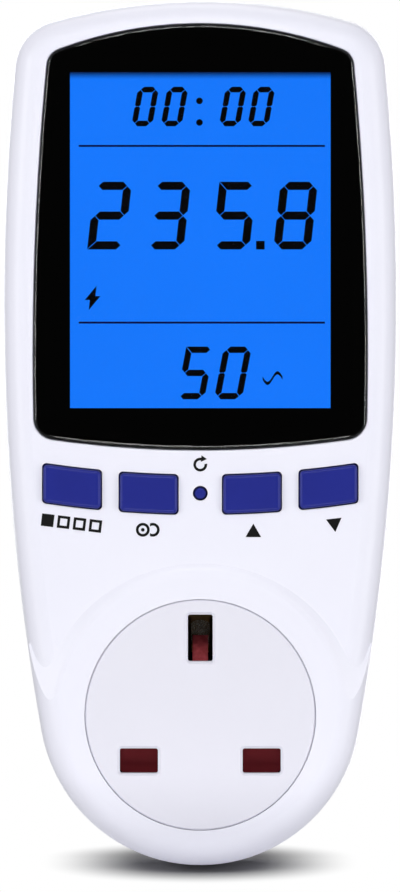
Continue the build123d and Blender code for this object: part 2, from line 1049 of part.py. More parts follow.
with BuildPart() as varistor:
    varistor_level = power_face + lead_height + varistor_radius
    with BuildSketch(Plane.XY.offset(varistor_place[1])):
        with Locations((varistor_place[0], -varistor_level)):
            Circle(varistor_radius)
    extrude(amount=varistor_thickness / 2, both=True)
    fillet(varistor.edges(), varistor_thickness / 3)
    for side in (-1, 1):
        peg(
            (varistor_place[0] + side * lead_pitch / 2, varistor_place[1]),
            lead_radius,
            power_face,
            varistor_level,
        )
finish(varistor, "varistor")

with BuildPart() as dropper_resistor:
    resistor_level = power_face + resistor_radius
    resistor_plane = Plane(
        origin=(resistor_place[0], -resistor_level, resistor_place[1]),
        z_dir=(1, 0, 0),
    )
    with BuildSketch(resistor_plane):
        Circle(resistor_neck)
    extrude(amount=resistor_length / 2, both=True)
    for side in (-1, 1):
        end_x = resistor_place[0] + side * (resistor_length - resistor_radius) / 2
        with BuildSketch(
            Plane(origin=(end_x, -resistor_level, resistor_place[1]), z_dir=(1, 0, 0))
        ):
            Circle(resistor_radius)
        extrude(amount=resistor_radius / 2, both=True)
        lead_x = resistor_place[0] + side * resistor_lead_pitch / 2
        with BuildSketch(Plane(origin=(end_x, -resistor_level, resistor_place[1]), z_dir=(side, 0, 0))):
            Circle(lead_radius)
        extrude(amount=abs(lead_x - end_x) + lead_radius)
        peg((lead_x, resistor_place[1]), lead_radius, power_face, resistor_level + lead_radius)
finish(dropper_resistor, "dropper_resistor")

with BuildPart() as smoothing_capacitor:
    with BuildSketch(Plane.XY):
        with BuildLine():
            groove_foot = can_groove_height - can_groove
            groove_head = can_groove_height + can_groove
            Polyline(
                (0, 0),
                (can_radius, 0),
                (can_radius, groove_foot),
                (can_radius - can_groove, can_groove_height),
                (can_radius, groove_head),
                (can_radius, can_height - can_groove),
                (can_radius - can_groove, can_height),
                (0, can_height),
                close=True,
            )
        make_face()
    revolve(axis=Axis.Y)
smoothing_capacitor.part = (
    Pos(can_place[0], -power_face, can_place[1]) * Rot(180, 0, 0) * smoothing_capacitor.part
)
finish(smoothing_capacitor, "smoothing_capacitor")

with BuildPart() as metering_chip:
    chip_level = power_face + chip_standoff
    slab(box_outline(chip_place, *chip_size), chip_level, chip_level + chip_thickness)
    legs_per_side = int(chip_size[1] / chip_leg_pitch)
    with BuildSketch(level(power_face)):
        with Locations(chip_place):
            with GridLocations(chip_size[0] + chip_leg_reach, chip_leg_pitch, 2, legs_per_side):
                Rectangle(chip_leg_reach, chip_leg_width)
    extrude(amount=chip_standoff + chip_thickness / 3)
finish(metering_chip, "metering_chip")

with BuildPart() as metering_crystal:
    slab(
        box_outline(crystal_place, *crystal_size, crystal_size[0] / 2 - lead_radius),
        power_face,
        power_face + crystal_height,
    )
finish(metering_crystal, "metering_crystal")

# Backup cells in their moulded cradle
cell_level = power_face + cradle_wall + cell_radius
cells_length = cell_count * cell_thickness
with BuildPart() as backup_cells:
    for number in range(cell_count):
        cell_x = (number - (cell_count - 1) / 2) * cell_thickness
        with BuildSketch(Plane(origin=(cell_x, -cell_level, cell_height), z_dir=(1, 0, 0))):
            Circle(cell_radius)
        extrude(amount=cell_thickness / 2 - cell_gap / 2, both=True)
finish(backup_cells, "backup_cells")

with BuildPart() as battery_cradle:
    slab(
        box_outline(
            (0, cell_height),
            cells_length + cradle_wall + cradle_wall,
            cell_radius + cell_radius + cradle_wall + cradle_wall,
        ),
        power_face,
        power_face + cradle_depth,
    )
    with BuildSketch(Plane(origin=(0, -cell_level, cell_height), z_dir=(1, 0, 0))):
        Circle(cell_radius + cell_gap)
    extrude(amount=cells_length / 2 + cell_gap, both=True, mode=Mode.SUBTRACT)
finish(battery_cradle, "battery_cradle")

# Plug pins: blades with a flange inside the plug face and a tail that is riveted over
for name, place in pins_at.items():
    earthed = name == "earth"
    width = earth_pin_width if earthed else line_pin_width
    height = earth_pin_height if earthed else line_pin_thickness
    length = earth_pin_length if earthed else line_pin_length
    blade = box_outline(place, width, height)
    with BuildPart() as pin:
        slab(blade, -length, wall if earthed else -sleeve_length)
        chamfer(pin.faces().sort_by(Axis.Y)[-1].edges(), pin_tip_chamfer)
        fillet(pin.edges().filter_by(Axis.Y), pin_edge_radius)
        if not earthed:
            core = box_outline(
                place,
                width - sleeve_wall - sleeve_wall,
                height - sleeve_wall - sleeve_wall,
                pin_edge_radius,
            )
            slab(core, -sleeve_length, wall)
        slab(
            box_outline(
                place,
                width + pin_flange_margin + pin_flange_margin,
                height + pin_flange_margin + pin_flange_margin,
                pin_edge_radius,
            ),
            wall,
            carrier_back_level,
        )
        peg(place, tail_radius, carrier_back_level, carrier_floor_level + strip)
        peg(
            place,
            rivet_radius,
            carrier_floor_level + strip,
            carrier_floor_level + strip + rivet_height,
        )
    finish(pin, f"{name}_pin")
    if not earthed:
        with BuildPart() as sleeve:
            slab(box_outline(place, width, height, pin_edge_radius), -sleeve_length, wall)
            slab(core, -sleeve_length, wall, Mode.SUBTRACT)
        finish(sleeve, f"{name}_sleeve")

# Socket insert: face disc with three apertures, shrouds, shutter rails and a skirt
with BuildPart() as socket_insert:
    middle = (0, socket_height)
    peg(middle, insert_radius, insert_seat_level, insert_front_level)
    chamfer(socket_insert.faces().sort_by(Axis.Y)[0].edges(), insert_chamfer)
    peg(middle, carrier_radius, carrier_front_level, insert_seat_level)
    peg(
        middle,
        carrier_radius - skirt_wall,
        carrier_front_level,
        insert_flange_level,
        Mode.SUBTRACT,
    )
    rim_radius = insert_radius - insert_thickness
    plate_back = insert_front_level - insert_thickness
    peg(middle, rim_radius, insert_flange_level, plate_back, Mode.SUBTRACT)
    for name, place in pins_at.items():
        size = earth_aperture if name == "earth" else line_aperture
        slab(
            box_outline(
                place,
                size[0] + shroud_wall + shroud_wall,
                size[1] + shroud_wall + shroud_wall,
                aperture_corner,
            ),
            shroud_level,
            plate_back,
        )
    rail_middle = (rail_top + rail_bottom) / 2
    for side in (-1, 1):
        rail_x = side * (stem_width / 2 + shutter_gap + shroud_wall / 2)
        slab(
            box_outline((rail_x, rail_middle), shroud_wall, rail_top - rail_bottom),
            shutter_level,
            plate_back,
        )
    seat_bottom = socket_height - carrier_radius + skirt_wall / 2
    slab(
        box_outline(
            (0, (spring_seat_top + seat_bottom) / 2),
            spring_seat_width,
            spring_seat_top - seat_bottom,
        ),
        shutter_level,
        insert_flange_level,
    )
    for name, place in pins_at.items():
        size = earth_aperture if name == "earth" else line_aperture
        opening = box_outline(place, size[0], size[1], aperture_corner)
        slab(opening, shroud_level, insert_front_level, Mode.SUBTRACT)
    front_face = socket_insert.faces().filter_by(Axis.Y).sort_by(Axis.Y)[0]
    chamfer([wire.edges() for wire in front_face.inner_wires()], aperture_chamfer)
finish(socket_insert, "socket_insert")

# Contact carrier: a round cup with a well for each contact
with BuildPart() as contact_carrier:
    peg(middle, carrier_radius, carrier_back_level, carrier_front_level)
    peg(
        middle,
        carrier_radius - carrier_wall,
        carrier_floor_level,
        carrier_front_level,
        Mode.SUBTRACT,
    )
    for name, place in pins_at.items():
        size = earth_well if name == "earth" else line_well
        front = earth_well_front_level if name == "earth" else carrier_front_level
        slab(
            box_outline(
                place,
                size[0] + carrier_wall + carrier_wall,
                size[1] + carrier_wall + carrier_wall,
            ),
            carrier_floor_level,
            front,
        )
        slab(box_outline(place, *size), carrier_floor_level, front, Mode.SUBTRACT)
        peg(
            place,
            tail_radius + tail_gap,
            carrier_back_level,
            carrier_floor_level,
            Mode.SUBTRACT,
        )
    for place in carrier_screws_at:
        peg(place, small_hole_radius, carrier_back_level, carrier_floor_level, Mode.SUBTRACT)
    slot_bottom = line_height + line_well[1] / 2
    slot_top = socket_height + carrier_radius
    for side in (-1, 1):
        slab(
            box_outline(
                (side * line_offset, (slot_bottom + slot_top) / 2),
                wire_slot_width,
                slot_top - slot_bottom,
            ),
            wire_slot_start,
            wire_slot_end,
            Mode.SUBTRACT,
        )
    slab(
        box_outline(
            (line_offset + sense_tab_offset, (slot_bottom + slot_top) / 2),
            sense_slot_width,
            slot_top - slot_bottom,
        ),
        carrier_floor_level,
        sense_slot_end,
        Mode.SUBTRACT,
    )
finish(contact_carrier, "contact_carrier")

with BuildPart() as carrier_screws:
    for place in carrier_screws_at:
        screw(
            place,
            carrier_floor_level,
            -1,
            small_screw_radius,
            small_screw_length,
            small_screw_head_radius,
            small_screw_head_height,
        )
finish(carrier_screws, "carrier_screws")


def clip(plane, base_level, tip_level, width):
    """Spring contact: a folded strip whose two legs pinch a pin and flare at the mouth."""
    leg = [
        (tip_level, clip_mouth),
        (clip_pinch_level, clip_pinch),
        (clip_shoulder_level, clip_spread),
        (base_level + strip / 2, clip_spread),
    ]
    with BuildSketch(plane) as folded:
        with BuildLine():
            FilletPolyline(*leg, *[(x, -y) for x, y in reversed(leg)], radius=strip_bend)
        trace(line_width=strip)
    extrude(folded.sketch, amount=width / 2, both=True)


def line_clip_plane(offset_x):
    """Sketch plane of a line contact: forward is x, up is y."""
    return Plane(origin=(offset_x, 0, line_height), x_dir=(0, -1, 0), z_dir=(-1, 0, 0))


def wire_tab(offset_x):
    """Solder tab that rises from a line contact through the slot of its well."""
    tab_height = (tab_reach + clip_spread) / 2
    slab(
        box_outline(
            (offset_x, line_height + tab_height),
            tab_width,
            tab_reach - clip_spread,
        ),
        tab_level - strip / 2,
        tab_level + strip / 2,
    )


with BuildPart() as neutral_contact:
    clip(line_clip_plane(-line_offset), carrier_floor_level, line_clip_level, line_clip_width)
    wire_tab(-line_offset)
    peg(
        pins_at["neutral"],
        tail_radius,
        carrier_floor_level,
        carrier_floor_level + strip,
        Mode.SUBTRACT,
    )
finish(neutral_contact, "neutral_contact")

with BuildPart() as live_contact:
    clip(line_clip_plane(line_offset), shunt_level, line_clip_level, line_clip_width)
    wire_tab(line_offset + live_tab_offset)
finish(live_contact, "live_contact")

with BuildPart() as earth_contact:
    clip(
        Plane(origin=(0, 0, earth_height), x_dir=(0, -1, 0), z_dir=(0, 0, 1)),
        carrier_floor_level,
        earth_clip_level,
        earth_clip_width,
    )
    peg(
        pins_at["earth"],
        tail_radius,
        carrier_floor_level,
        carrier_floor_level + strip,
        Mode.SUBTRACT,
    )
finish(earth_contact, "earth_contact")

# Measuring shunt: a strip folded back over the live rivet, up to the live contact
with BuildPart() as shunt:
    shunt_plane = Plane(
        origin=(line_offset, 0, line_height), x_dir=(1, 0, 0), z_dir=(0, 0, 1)
    )
    with BuildSketch(shunt_plane):
        with BuildLine():
            FilletPolyline(
                (-shunt_inset, -carrier_floor_level - strip / 2),
                (shunt_reach, -carrier_floor_level - strip / 2),
                (shunt_reach, -shunt_level + strip / 2),
                (-shunt_inset, -shunt_level + strip / 2),
                radius=strip_bend,
            )
        trace(line_width=strip)
    extrude(amount=shunt_width / 2, both=True)
    slab(
        box_outline(
            (line_offset + sense_tab_offset, line_height + (tab_reach + shunt_width / 2) / 2),
            tab_width,
            tab_reach - shunt_width / 2,
        ),
        carrier_floor_level,
        carrier_floor_level + strip,
    )
    peg(
        pins_at["live"],
        tail_radius,
        carrier_floor_level,
        carrier_floor_level + strip,
        Mode.SUBTRACT,
    )
finish(shunt, "shunt")

# Wires from the contacts up to the power board
wire_start = line_height + tab_reach
plain_route = [
    (tab_level, wire_start),
    (tab_level, wire_joint_height),
    (power_face, wire_joint_height),
]
sense_route = [
    (sense_wire_level, wire_start),
    (sense_wire_level, sense_wire_turn_low),
    (sense_wire_clear_level, sense_wire_turn_high),
    (sense_wire_clear_level, wire_joint_height),
    (power_face, wire_joint_height),
]
wire_routes = {
    "neutral_wire": (-line_offset, plain_route, wire_bend),
    "live_wire": (line_offset + live_tab_offset, plain_route, wire_bend),
    "sense_wire": (line_offset + sense_tab_offset, sense_route, sense_wire_bend),
}
for name, (wire_x, route, bend) in wire_routes.items():
    with BuildPart() as wire:
        with BuildLine() as path:
            FilletPolyline(*[(wire_x, -forward, up) for forward, up in route], radius=bend)
        with BuildSketch(Plane(origin=path.line @ 0, z_dir=path.line % 0)):
            Circle(wire_radius)
        sweep(path=path.line)
    finish(wire, name)

# Safety shutter: two shields joined by a bar, and the ramp that the earth pin pushes down
with BuildPart() as shutter:
    with BuildSketch(level(shutter_level)) as shutter_shape:
        with Locations((-line_offset, line_height), (line_offset, line_height)):
            Rectangle(shield_width, shield_height)
        with Locations((0, shutter_bottom)):
            Rectangle(
                line_offset + line_offset,
                shield_height,
                align=(Align.CENTER, Align.MIN),
            )
            Rectangle(
                crossbar_width,
                crossbar_top - shutter_bottom,
                align=(Align.CENTER, Align.MIN),
            )
            Rectangle(stem_width, stem_top - shutter_bottom, align=(Align.CENTER, Align.MIN))
            Rectangle(
                spring_slot_width,
                spring_slot_top - shutter_bottom,
                align=(Align.CENTER, Align.MIN),
                mode=Mode.SUBTRACT,
            )
        outer = shutter_shape.vertices().group_by(Axis.X)
        chamfer([outer[0].sort_by(Axis.Y)[0], outer[-1].sort_by(Axis.Y)[0]], shield_corner)
    extrude(amount=shutter_thickness)
    with BuildSketch(Plane.YZ):
        with BuildLine():
            Polyline(
                (-ramp_front_level, ramp_foot),
                (-ramp_front_level, ramp_low),
                (-ramp_back_level - ramp_land, ramp_high),
                (-ramp_back_level, ramp_high),
                (-ramp_back_level, ramp_foot),
                close=True,
            )
        make_face()
    extrude(amount=ramp_width / 2, both=True)
finish(shutter, "shutter")

# Shutter spring: a compression coil between the slot of the shutter and its seat
spring_length = spring_slot_top - spring_seat_top
with BuildPart() as shutter_spring:
    coil_height = spring_length - spring_wire_radius - spring_wire_radius
    with BuildLine() as coil:
        Helix(
            pitch=coil_height / spring_turns,
            height=coil_height,
            radius=spring_radius,
            center=(0, -spring_level, spring_seat_top + spring_wire_radius),
        )
    with BuildSketch(Plane(origin=coil.line @ 0, z_dir=coil.line % 0)):
        RegularPolygon(spring_wire_radius, 6)
    sweep(path=coil.line, is_frenet=True)
finish(shutter_spring, "shutter_spring")

# Screws that close the housing, with cross recesses
with BuildPart() as housing_screws:
    head_seat = parting_level - well_floor
    for place in housing_screws_at:
        screw(
            place,
            head_seat,
            1,
            housing_screw_radius,
            housing_screw_length,
            housing_screw_head_radius,
            housing_screw_head_height,
        )
        head_back = head_seat - housing_screw_head_height
        for size in ((cross_length, cross_width), (cross_width, cross_length)):
            slab(box_outline(place, *size), head_back, head_back + cross_depth, Mode.SUBTRACT)
finish(housing_screws, "housing_screws")
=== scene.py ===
import json
import math

import bpy
from mathutils import Matrix, Vector


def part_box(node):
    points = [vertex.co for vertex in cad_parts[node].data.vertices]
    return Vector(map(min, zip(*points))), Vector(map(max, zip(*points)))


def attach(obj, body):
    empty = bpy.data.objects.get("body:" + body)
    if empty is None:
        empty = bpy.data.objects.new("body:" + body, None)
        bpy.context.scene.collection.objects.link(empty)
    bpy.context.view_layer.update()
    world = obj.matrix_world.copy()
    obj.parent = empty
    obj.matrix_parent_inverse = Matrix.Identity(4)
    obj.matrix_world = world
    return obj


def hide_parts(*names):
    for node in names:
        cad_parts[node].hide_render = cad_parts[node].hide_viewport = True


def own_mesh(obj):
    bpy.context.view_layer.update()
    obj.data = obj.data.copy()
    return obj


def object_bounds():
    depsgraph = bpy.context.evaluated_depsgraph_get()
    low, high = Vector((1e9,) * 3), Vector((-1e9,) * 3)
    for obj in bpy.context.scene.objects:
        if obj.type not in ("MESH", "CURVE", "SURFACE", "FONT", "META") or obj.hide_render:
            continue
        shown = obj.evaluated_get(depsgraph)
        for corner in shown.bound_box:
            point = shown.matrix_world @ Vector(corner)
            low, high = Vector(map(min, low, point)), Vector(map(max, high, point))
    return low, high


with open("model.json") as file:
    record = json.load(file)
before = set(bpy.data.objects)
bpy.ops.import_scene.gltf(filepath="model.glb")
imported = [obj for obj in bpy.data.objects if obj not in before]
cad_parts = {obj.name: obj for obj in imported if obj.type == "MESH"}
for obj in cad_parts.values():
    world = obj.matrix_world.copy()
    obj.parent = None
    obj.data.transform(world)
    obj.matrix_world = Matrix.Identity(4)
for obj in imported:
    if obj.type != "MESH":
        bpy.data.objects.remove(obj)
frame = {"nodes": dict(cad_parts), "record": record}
cad_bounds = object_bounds()

# Units and the picture
mm = 0.001
upright = math.radians(90)
picture_height = 892
pixels_per_mm = 5.51
picture_middle_height = 45.7 * mm
picture_middle_offset = -0.05 * mm
camera_distance = 3.0
camera_pitch = math.radians(1.0)
camera_sight = camera_distance * 3
sensor_height = 36.0
scale_depth = 10 * mm
ramp_foot_height = 11.0 * mm
ramp_head_height = 19.0 * mm
ramp_foot_margin = 2 * mm

# Places on the front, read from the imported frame
display_low, display_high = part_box("front_polariser")
cover_low, cover_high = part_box("front_cover")
insert_low, insert_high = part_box("socket_insert")
insert_middle = (insert_low + insert_high) / 2
display_face = display_low.y
ramp_foot = insert_middle.z + ramp_foot_height
ramp_head = insert_middle.z + ramp_head_height
scale_plane = cover_low.y + scale_depth

# Readings on the display: places of the digits, heights above the origin, strokes and slants
time_baseline = 103.7 * mm
time_height = 7.16 * mm
time_width = 3.8 * mm
time_stroke = 1.02 * mm
time_slant = 0.18
time_digits = [("0", -12.34 * mm), ("0", -7.04 * mm), ("0", 3.48 * mm), ("0", 8.64 * mm)]
colon_radius = 0.6 * mm
colon_sides = 24
colon_heights = [108.3 * mm, 104.4 * mm]
main_baseline = 81.4 * mm
main_height = 12.26 * mm
main_width = 6.76 * mm
main_stroke = 1.48 * mm
main_slant = 0.11
main_digits = [("2", -20.29 * mm), ("3", -9.64 * mm), ("5", 2.25 * mm), ("8", 13.31 * mm)]
point_place = 11.0 * mm
point_size = 1.55 * mm
low_baseline = 54.26 * mm
low_height = 9.55 * mm
low_width = 5.07 * mm
low_stroke = 1.15 * mm
low_slant = 0.19
low_digits = [("5", -4.19 * mm), ("0", 2.6 * mm)]
segment_gap = 0.11 * mm
segment_thickness = 0.04 * mm
blunt_share = 0.22
reading_offset = -0.15 * mm
rule_heights = [100.15 * mm, 68.15 * mm]
rule_start = -21.8 * mm
rule_end = 22.65 * mm
rule_width = 0.36 * mm
bolt_place = (-19.3 * mm, 72.6 * mm)
bolt_height = 4.4 * mm
bolt_tip_share = (0.16, 0.5)
bolt_heel_share = (-0.32, -0.08)
bolt_toe_share = (0.1, -0.08)
wave_place = (13.2 * mm, 58.1 * mm)
wave_length = 3.6 * mm
wave_height = 0.95 * mm
wave_stroke = 0.6 * mm
wave_cuts = 24

# Printed signs by the keys
ink_thickness = 0.03 * mm
ink_stroke = 0.48 * mm
sign_height = 2.5 * mm
list_sign = (-23.3 * mm, 31.9 * mm)
list_tilt = math.radians(-6.8)
coin_sign = (-9.5 * mm, 30.7 * mm)
up_sign = (9.6 * mm, 30.6 * mm)
down_sign = (24.3 * mm, 31.5 * mm)
down_tilt = math.radians(6.4)
reset_sign = (0.0, 42.5 * mm)
lift_above_front = 2 * mm

# Shares of the height of a sign
tile_share = 0.9
tile_pitch_share = 1.16
tile_count = 4
coin_offset_share = 0.36
coin_cut_share = 0.2
coin_sides = 40
heart_share = 0.13
heart_sides = 20
arrow_share = 1.3
ring_sides = 48
ring_gap = (10, 70)
ring_head_share = 0.55
ring_head_turn = math.radians(-95)
ring_head_place = (0.27, 0.42)

# Coil spring under the shutter
spring_wire = 0.18 * mm
spring_turns = 8
spring_wire_sides = 8
spring_turn_steps = 20

# Studio lamps: bearing from the front and height angle in degrees, then distance, width and
# height in metres, and power in watts
lamps = {
    "left": (-58, 6, 1.7, 0.45, 0.9, 10.5),
    "right": (58, 0, 1.7, 0.45, 0.9, 10.0),
    "front": (0, 38, 1.8, 0.9, 0.5, 8.6),
    "low front": (0, -30, 1.8, 0.9, 0.5, 8.0),
    "overhead": (180, 66, 1.5, 0.7, 0.7, 6.0),
    "back left": (-168, 10, 1.8, 0.8, 0.8, 7.0),
    "back right": (168, 0, 1.8, 0.8, 0.8, 6.0),
}
ambient_level = 0.34
room_dim = 0.03
room_pale = 0.55
room_dim_end = -0.9
room_pale_start = 0.1

# Pale floor and the reach of the soft shadow on it: the camera sees it grey near the object, a painted
# shadow under the lamps' real one
floor_gap = 0.05 * mm
floor_width = 64 * mm
floor_depth = 96 * mm
floor_cuts = 59
floor_fall = math.tan(math.radians(6.0))
floor_rise = math.tan(math.radians(12.0))
floor_bend = 12 * mm
slope_front = cover_low.y / 2
slope_back = 2 * mm
painted_floor_shade = (0.26, 0.26, 0.26, 1)
floor_bounce = (0.85, 0.85, 0.87, 1)
shadow_half_width = 28 * mm
shadow_half_height = 2.3 * mm
shadow_heart = 0.35
shadow_edge = 1.05


def clear_selection():
    """Deselect everything, so that an operator acts on one piece."""
    bpy.ops.object.select_all(action="DESELECT")


def make_active(piece):
    """Select one piece alone and make it the active one."""
    clear_selection()
    piece.select_set(True)
    bpy.context.view_layer.objects.active = piece


def flat_plate(name, width, height):
    """Flat rectangle in the front view, centred on the origin, facing the user."""
    clear_selection()
    bpy.ops.mesh.primitive_plane_add(size=1, rotation=(upright, 0, 0))
    plate = bpy.context.object
    plate.name = name
    plate.scale = (width, height, 1)
    bpy.ops.object.transform_apply(location=True, rotation=True, scale=True)
    return plate


def flat_disc(name, radius, corners):
    """Flat disc or polygon in the front view, centred on the origin, facing the user."""
    clear_selection()
    bpy.ops.mesh.primitive_circle_add(
        vertices=corners, radius=radius, fill_type="NGON", rotation=(upright, 0, 0)
    )
    disc = bpy.context.object
    disc.name = name
    bpy.ops.object.transform_apply(location=True, rotation=True, scale=True)
    return disc


def trim(piece, point, keep):
    """Cut a flat piece along a line through a point, and keep the side that keep points to."""
    make_active(piece)
    bpy.ops.object.mode_set(mode="EDIT")
    bpy.ops.mesh.select_all(action="SELECT")
    bpy.ops.mesh.bisect(
        plane_co=(point[0], 0, point[1]),
        plane_no=(-keep[0], 0, -keep[1]),
        clear_outer=True,
        threshold=1e-7,
    )
    bpy.ops.object.mode_set(mode="OBJECT")


def hollow(piece, margin):
    """Turn a flat piece into a frame or ring of even width."""
    make_active(piece)
    bpy.ops.object.mode_set(mode="EDIT")
    bpy.ops.mesh.select_all(action="SELECT")
    bpy.ops.mesh.inset(thickness=margin, use_even_offset=True)
    bpy.ops.mesh.delete(type="FACE")
    bpy.ops.object.mode_set(mode="OBJECT")


def shift(piece, x=0.0, y=0.0, z=0.0):
    """Move a piece by its mesh."""
    piece.data.transform(Matrix.Translation((x, y, z)))


def turn(piece, angle):
    """Turn a piece in the front view about the origin, anticlockwise as the user sees it."""
    piece.data.transform(Matrix.Rotation(-angle, 4, "Y"))


def copy_of(piece, name):
    """A copy of a piece with its own mesh."""
    double = piece.copy()
    double.data = piece.data.copy()
    double.name = name
    bpy.context.scene.collection.objects.link(double)
    return double


def join(pieces, name):
    """Join pieces into one."""
    clear_selection()
    for piece in pieces:
        piece.select_set(True)
    bpy.context.view_layer.objects.active = pieces[0]
    if len(pieces) > 1:
        bpy.ops.object.join()
    pieces[0].name = name
    return pieces[0]


def thicken(piece, thickness):
    """Give a flat piece its thickness, towards the user."""
    make_active(piece)
    modifier = piece.modifiers.new("thickness", "SOLIDIFY")
    modifier.thickness = thickness
    modifier.offset = 1
    bpy.ops.object.modifier_apply(modifier=modifier.name)


def lay_on_front(piece):
    """Press a flat piece on to the crowned front cover and give it the thickness of ink."""
    make_active(piece)
    shift(piece, y=cover_low.y - lift_above_front)
    modifier = piece.modifiers.new("lay", "SHRINKWRAP")
    modifier.target = frame["nodes"]["front_cover"]
    modifier.wrap_method = "PROJECT"
    modifier.use_project_x = False
    modifier.use_project_y = True
    modifier.use_project_z = False
    modifier.use_positive_direction = True
    modifier.use_negative_direction = False
    modifier.offset = ink_thickness
    bpy.ops.object.modifier_apply(modifier=modifier.name)
    thicken(piece, ink_thickness)


# Seven-segment digits: which segments are lit, and which corners stay sharp
lit_segments = {"0": "abcdef", "2": "abged", "3": "abgcd", "5": "afgcd", "8": "abcdefg"}
sharp_corners = {"2": ("low left",), "5": ("top left",)}
segment_ends = {
    "a": ("top left", "top right", (0, 1)),
    "b": ("middle right", "top right", (1, 0)),
    "c": ("low right", "middle right", (1, 0)),
    "d": ("low left", "low right", (0, -1)),
    "e": ("low left", "middle left", (-1, 0)),
    "f": ("middle left", "top left", (-1, 0)),
    "g": ("middle left", "middle right", None),
}


def lit_segment(letter, joints, stroke, sharp, open_middle):
    """One lit segment: a bar whose ends are cut to points that meet its neighbours."""
    first, last, outward = segment_ends[letter]
    start, end = Vector(joints[first]), Vector(joints[last])
    along = (end - start).normalized()
    across = Vector(outward) if outward else Vector((-along.y, along.x))
    size = end - start
    bar = flat_plate("segment", abs(size.x) + stroke, abs(size.y) + stroke)
    middle = (start + end) / 2
    shift(bar, x=middle.x, z=middle.y)
    for joint, place, inward in ((start, first, along), (end, last, -along)):
        blunt = open_middle and place.startswith("middle")
        keeps = [(inward + across).normalized()]
        if place not in sharp:
            keeps.append((inward - across).normalized())
        for keep in keeps:
            reach = segment_gap / 2 - (stroke * blunt_share if blunt else 0)
            trim(bar, joint + keep * reach, keep)
        if blunt:
            trim(bar, joint + inward * segment_gap / 3, inward)
    return bar


def digit(figure, width, height, stroke):
    """A seven-segment figure whose lower left corner is the origin."""
    half = stroke / 2
    joints = {}
    for row, z in (("low", half), ("middle", height / 2), ("top", height - half)):
        joints[row + " left"] = (half, z)
        joints[row + " right"] = (width - half, z)
    sharp = sharp_corners.get(figure, ())
    open_middle = "g" not in lit_segments[figure]
    bars = []
    for letter in lit_segments[figure]:
        bars.append(lit_segment(letter, joints, stroke, sharp, open_middle))
    return join(bars, "figure " + figure)


def reading(name, figures, width, height, stroke, slant, baseline):
    """A row of slanted figures, each modelled once and copied where it repeats."""
    models = {}
    row = []
    for figure, x in figures:
        if figure in models:
            shape = copy_of(models[figure], "figure")
        else:
            shape = digit(figure, width, height, stroke)
            lean = Matrix.Identity(4)
            lean[0][2] = slant
            shape.data.transform(lean)
            models[figure] = copy_of(shape, "model " + figure)
        shift(shape, x=x, z=baseline)
        row.append(shape)
    for model in models.values():
        bpy.data.objects.remove(model)
    return join(row, name)


def to_display(piece):
    """Put a flat piece on the face of the display."""
    thicken(piece, segment_thickness)
    shift(piece, x=reading_offset, y=display_face)
    return piece


# Readings
time_row = [
    reading(
        "time_reading", time_digits, time_width, time_height, time_stroke, time_slant, time_baseline
    )
]
for height in colon_heights:
    dot = flat_disc("colon", colon_radius, colon_sides)
    shift(dot, z=height)
    time_row.append(dot)
time_reading = to_display(join(time_row, "time_reading"))

main_row = [
    reading(
        "main_reading", main_digits, main_width, main_height, main_stroke, main_slant, main_baseline
    )
]
point = flat_plate("point", point_size, point_size)
shift(point, x=point_place, z=main_baseline + point_size / 2)
main_row.append(point)
main_reading = to_display(join(main_row, "main_reading"))

low_reading = to_display(
    reading("low_reading", low_digits, low_width, low_height, low_stroke, low_slant, low_baseline)
)

# Two thin rules between the readings
rules = []
for height in rule_heights:
    rule = flat_plate("rule", rule_end - rule_start, rule_width)
    shift(rule, x=(rule_start + rule_end) / 2, z=height)
    rules.append(rule)
display_rules = to_display(join(rules, "display_rules"))

# Bolt and wave: generic signs for voltage and frequency
bolt_parts = []
for side in (1, -1):
    tip = Vector(bolt_tip_share) * bolt_height * side
    heel = Vector(bolt_heel_share) * bolt_height * side
    toe = Vector(bolt_toe_share) * bolt_height * side
    blade = flat_plate("blade", bolt_height, bolt_height + bolt_height)
    for start, end in ((tip, heel), (heel, toe), (toe, tip)):
        run = end - start
        trim(blade, start, (-run.y, run.x))
    bolt_parts.append(blade)
voltage_sign = join(bolt_parts, "voltage_sign")
shift(voltage_sign, x=bolt_place[0], z=bolt_place[1])
to_display(voltage_sign)

wave = flat_plate("frequency_sign", wave_length, wave_stroke)
make_active(wave)
bpy.ops.object.mode_set(mode="EDIT")
bpy.ops.mesh.select_all(action="SELECT")
bpy.ops.mesh.subdivide(number_cuts=wave_cuts)
bpy.ops.object.mode_set(mode="OBJECT")
for vertex in wave.data.vertices:
    vertex.co.z += wave_height * math.sin(2 * math.pi * vertex.co.x / wave_length)
shift(wave, x=wave_place[0], z=wave_place[1])
frequency_sign = to_display(wave)


def sized_sign(parts, name, place, tilt=0.0):
    """Join the parts of a printed sign, turn it and lay it on the front at its place."""
    sign = join(parts, name)
    turn(sign, tilt)
    shift(sign, x=place[0], z=place[1])
    make_active(sign)
    bpy.ops.object.mode_set(mode="EDIT")
    bpy.ops.mesh.select_all(action="SELECT")
    bpy.ops.mesh.quads_convert_to_tris()
    bpy.ops.object.mode_set(mode="OBJECT")
    lay_on_front(sign)
    return sign


# List sign: four page tiles in a row, the first one filled
tiles = []
tile_size = sign_height * tile_share
tile_pitch = sign_height * tile_pitch_share
for number in range(tile_count):
    tile = flat_plate("tile", tile_size, tile_size)
    if number:
        hollow(tile, ink_stroke)
    shift(tile, x=(number - (tile_count - 1) / 2) * tile_pitch)
    tiles.append(tile)
menu_mark = sized_sign(tiles, "menu_mark", list_sign, list_tilt)

# Coin sign: two coins, the second half behind the first
coins = []
for side in (-1, 1):
    coin = flat_disc("coin", sign_height / 2, coin_sides)
    hollow(coin, ink_stroke)
    if side > 0:
        trim(coin, (-sign_height * coin_cut_share, 0), (1, 0))
    shift(coin, x=side * sign_height * coin_offset_share)
    coins.append(coin)
    if side < 0:
        heart = flat_disc("heart", sign_height * heart_share, heart_sides)
        shift(heart, x=side * sign_height * coin_offset_share)
        coins.append(heart)
coin_mark = sized_sign(coins, "coin_mark", coin_sign)


